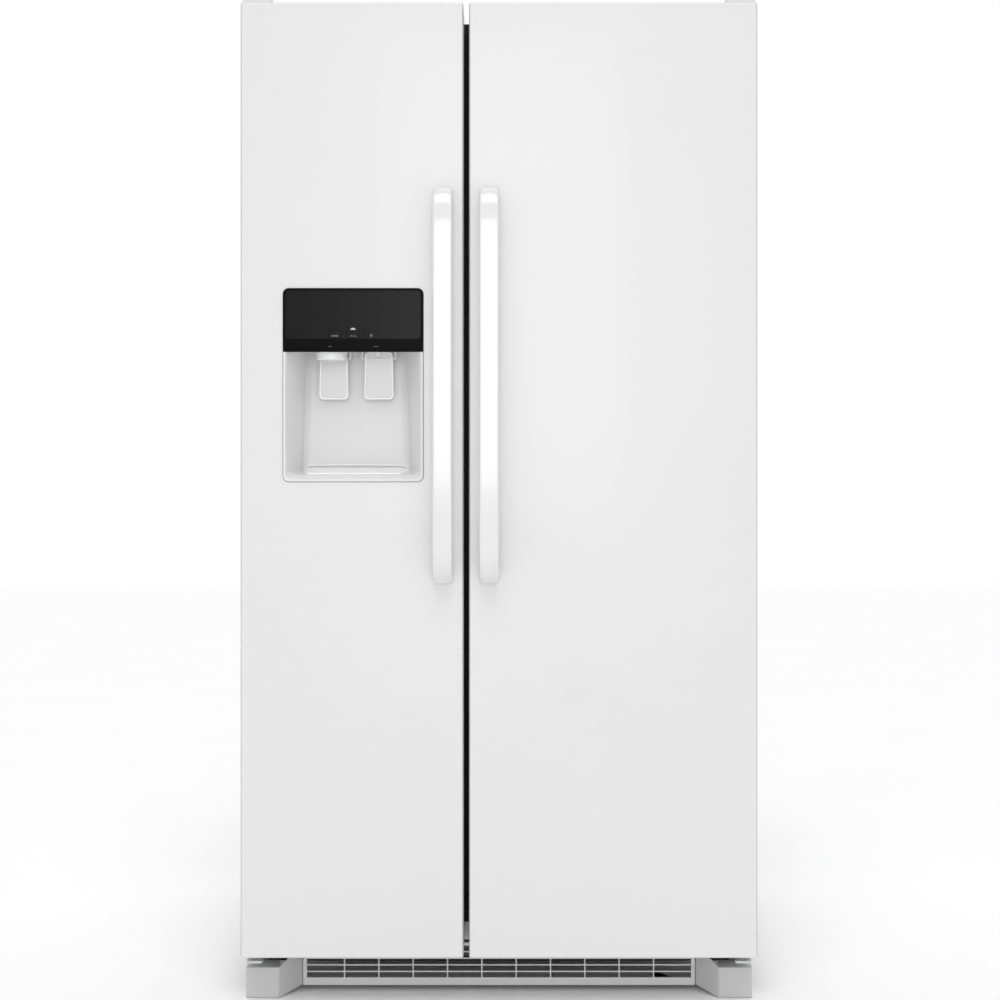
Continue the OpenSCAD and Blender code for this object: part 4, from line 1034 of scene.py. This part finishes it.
def make_wire_shelves():
    """Coated wire shelves: cross wires over a rim, with the front edge turned down."""
    lo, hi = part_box("freezer_shelves")
    ice_maker_height = 1.3
    heights = [z for z in shelf_heights("freezer_liner") if z < ice_maker_height]
    bm = bmesh.new()
    for z in heights:
        rim = 3 * MM
        inset = rim + 0.5 * MM
        corners = rounded(lo.x + inset, hi.x - inset, lo.y + inset, hi.y - inset, 12 * MM, 5)
        path = [(x, y, z + rim) for x, y in corners]
        add_tube(bm, path + [path[0], path[1]], rim, 12)
        for y in (-0.06, 0.08, 0.21):
            add_tube(bm, [(lo.x + inset, y, z + rim), (hi.x - inset, y, z + rim)], 2.4 * MM)
        count = 19
        for i in range(count):
            x = lo.x + 14 * MM + (hi.x - lo.x - 28 * MM) * i / (count - 1)
            add_tube(bm, [(x, hi.y - rim, z + 7.2 * MM), (x, lo.y + 8 * MM, z + 7.2 * MM),
                          (x, lo.y + 3.2 * MM, z + 6.2 * MM), (x, lo.y + 2 * MM, z + 2.6 * MM)],
                     1.6 * MM, 8)
    piece(link("wire_shelves", bm, 60), "cabinet", "wire_white", "freezer_shelves")


def add_tub(bm, lo, hi, wall, radius, draft, turned=False):
    """A thin-walled tub with a rolled rim, open at the top, or at the back when turned."""
    up = 1 if turned else 2
    rings = []
    outer = ((draft + 7, 0), (draft + 3, 0.6), (draft + 0.8, 3), (draft, 7))
    inner = ((draft + wall, 6), (draft + wall + 1, 2.4), (draft + wall + 3, 0.6), (draft + wall + 7, 0))
    rim = ((0.8, 7), (0.8, 5), (0, 4.2), (0, 1), (0.6, 0), (wall - 0.2, 0), (wall + 0.2, 0.6),
           (wall + 0.6, 7))
    levels = [(inset, lo[up] + h * MM) for inset, h in outer]
    levels += [(inset, hi[up] - h * MM) for inset, h in rim]
    levels += [(inset, lo[up] + (wall + h) * MM) for inset, h in inner]
    for inset, level in levels:
        i = inset * MM
        across = (lo.z, hi.z) if turned else (lo.y, hi.y)
        outline = rounded(lo.x + i, hi.x - i, across[0] + i, across[1] - i,
                          max(1.5, radius - inset) * MM)
        rings.append([(x, level, v) if turned else (x, v, level) for x, v in outline])
    add_loft(bm, rings, cap_start=True, cap_end=True)


def make_door_bins(node, body):
    """Clear door bins with a rolled rim, and over the fridge's bins the dairy compartment's shell."""
    bm = bmesh.new()
    for lo, hi in solids(node):
        dairy = hi.z - lo.z > 120 * MM
        if dairy:
            add_tub(bm, lo, hi, wall=3, radius=9, draft=0.5, turned=True)
        else:
            add_tub(bm, lo, hi, wall=2.6, radius=16, draft=4)
    piece(link(node + "_tubs", bm, 50), body, SLOT_OF[node], node)


def make_drawer(node):
    """A sliding tub with a light grip band along its front edge."""
    lo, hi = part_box(node)
    body = BODY_OF[node]
    bm = bmesh.new()
    add_tub(bm, lo + Vector((0, 8, 0)) * MM, hi, 3, 18, 4)
    obj = link(node + "_tub", bm, 50)
    if node == "ice_bin":
        cut_ice_bin(obj, lo)
    if node == "freezer_basket":
        cut_basket_slots(obj, lo, hi)
    piece(obj, body, SLOT_OF[node], node)
    band = bmesh.new()
    low = hi.z - 26 * MM
    add_box(band, (lo.x, lo.y, low), (hi.x, lo.y + 9.5 * MM, hi.z), 3.5 * MM, 4)
    grip = link(node + "_band", band, 50)
    middle = (lo.x + hi.x) / 2
    groove = bmesh.new()
    add_box(groove, (middle - 60 * MM, lo.y - 4 * MM, low - 6 * MM),
            (middle + 60 * MM, lo.y + 5 * MM, low + 9 * MM), 4 * MM, 4)
    cut_by(grip, link("groove", groove))
    piece(grip, body, SLOT_OF[node], material=SHELF_FRAME)


def cut_ice_bin(obj, lo):
    """The holes for the auger's shaft and for the ice's way out through the floor."""
    auger_lo, auger_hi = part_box("ice_auger")
    x, z = (auger_lo.x + auger_hi.x) / 2, (auger_lo.z + auger_hi.z) / 2
    shaft = bmesh.new()
    bmesh.ops.create_cone(shaft, cap_ends=True, segments=32, radius1=8 * MM, radius2=8 * MM, depth=0.6,
                          matrix=Matrix.Translation((x, 0, z)) @ Matrix.Rotation(math.pi / 2, 4, "X"))
    cut_by(obj, link("shaft", shaft))
    chute_lo, chute_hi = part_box("ice_chute")
    cut(obj, (chute_lo.x, lo.y + 14 * MM, lo.z - 5 * MM),
        (chute_hi.x, lo.y + 58 * MM, lo.z + 12 * MM))


def cut_basket_slots(obj, lo, hi):
    """Rows of upright slots in the basket's four sides."""
    for axis, first, last in ((0, 1.5, 14), (1, 1.8, 14.5)):
        across = 1 - axis
        slots = bmesh.new()
        for row in (0, 1):
            for i in range(12):
                place = lo[axis] + (hi[axis] - lo[axis]) * (i + first) / last
                low = Vector((0, 0, lo.z + (28 + 68 * row) * MM))
                high = Vector((0, 0, low.z + 54 * MM))
                low[axis], high[axis] = place - 5 * MM, place + 5 * MM
                low[across], high[across] = lo[across] - 20 * MM, hi[across] + 20 * MM
                add_box(slots, low, high)
        cut_by(obj, link("slots", slots))


FOOT_TOP = 54.8 * MM
FOOT_WIDTH = 62 * MM


def foot_path():
    """A foot cover's wall, from its outer rear corner round the front and back to the kick plate.

    Each point is x, y and the heights of the wall's lower and upper edge.
    """
    lo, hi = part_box("foot_covers")
    kick_lo, kick_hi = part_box("kick_plate")
    outer, inner = hi.x, hi.x - FOOT_WIDTH
    back = kick_lo.y + 2.5 * MM
    path = [(outer, back, lo.z, FOOT_TOP)]
    for x, r, start, sweep in ((outer - 4 * MM, 4 * MM, 0, 90), (inner + 5 * MM, 5 * MM, 90, 50)):
        for k in range(7):
            a = math.radians(start + sweep * k / 6)
            path.append((x + r * math.cos(a), lo.y + r - r * math.sin(a), lo.z, FOOT_TOP))
    wing_x, wing_y = path[-1][:2]
    steps = 8
    for k in range(1, steps + 1):
        t = k / steps
        path.append((wing_x + (kick_hi.x + MM - wing_x) * t, wing_y + (back - wing_y) * t,
                     lo.z + 9 * MM * t, FOOT_TOP + (hi.z - FOOT_TOP) * t))
    return path


def make_foot_covers():
    """Each foot cover: a low block with round corners, whose inner wing rises back to the kick plate."""
    path = foot_path()
    outer, back = path[0][:2]
    edge = 1.2 * MM
    for side in (-1, 1):
        bm = bmesh.new()
        rings = [[(side * x, y, low) for x, y, low, high in path]]
        for drop in (edge * 2, edge * 0.6, 0):
            rings.append([(side * x, y, high - drop) for x, y, low, high in path])
        rows = add_loft(bm, rings, closed=False)
        block = [v for v in rows[-1] if abs(v.co.z - FOOT_TOP) < 1e-6]
        corner = bm.verts.new((side * (outer - FOOT_WIDTH + 6 * MM), back, FOOT_TOP))
        bm.faces.new(block + [corner])
        obj = link(f"foot_cover_{'right' if side > 0 else 'left'}", bm, 40)
        front_face = min(obj.data.polygons, key=lambda f: f.center.y)
        solidify(obj, 2.2 * MM, -1.0 if front_face.normal.y < 0 else 1.0)
        bevel = obj.modifiers.new("soft", "BEVEL")
        bevel.width = 0.7 * MM
        bevel.segments = 3
        bevel.limit_method = "ANGLE"
        bevel.angle_limit = math.radians(40)
        bake(obj)
        piece(obj, "cabinet", "kick_grey", *(["foot_covers"] if side > 0 else []))


def make_hinge_washers():
    """Nylon washers round the lower hinges' pins, where the doors rest."""
    bm = bmesh.new()
    pin_x, washer_z = 432 * MM, 76.2 * MM
    door_lo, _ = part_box("fridge_door_skin")
    section = [(5.3, 0.2), (9.6, 0.2), (10, 0.8), (10, 3), (9.6, 3.6), (5.3, 3.6)]
    for side in (-1, 1):
        add_lathe(bm, [(r * MM, z * MM) for r, z in section],
                  (side * pin_x, door_lo.y + 40 * MM, washer_z), steps=40)
    piece(link("hinge_washers", bm, 40), "cabinet", "valve_plastic")


# ---------------------------------------------------------------- the whole machine

add_camera()
add_world()
add_lights()
set_view()
add_floor()
for side_name in ("freezer", "fridge"):
    make_door_skin(side_name + "_door_skin", side_name + "_door")
for side_name in ("freezer", "fridge"):
    make_handle(side_name + "_handle", side_name + "_door")
    make_gasket(side_name + "_gasket", side_name + "_door")
    make_door_liner(side_name + "_door_liner", side_name + "_door")
make_recess()
make_recess_ceiling()
make_recess_ledge()
make_bezel_shadow_line()
make_panel()
make_marks()
for paddle_node in ("ice_paddle", "water_paddle"):
    make_paddle(paddle_node)
make_ice_lip()
make_water_nozzle()
make_paddle_bosses()
make_drip_tray()
make_wrap()
make_lower_flange()
make_compartment("freezer_liner", 15 * MM, 2 * MM)
make_compartment("fridge_liner", 2 * MM, 5 * MM)
make_glass_shelves()
make_wire_shelves()
make_door_bins("freezer_door_bins", "freezer_door")
make_door_bins("fridge_door_bins", "fridge_door")
for drawer in ("crisper_upper", "crisper_lower", "ice_bin", "freezer_basket"):
    make_drawer(drawer)
make_foot_covers()
make_hinge_washers()
for cad_node in NODES:
    if not NODES[cad_node].hide_render:
        finish_cad(cad_node)
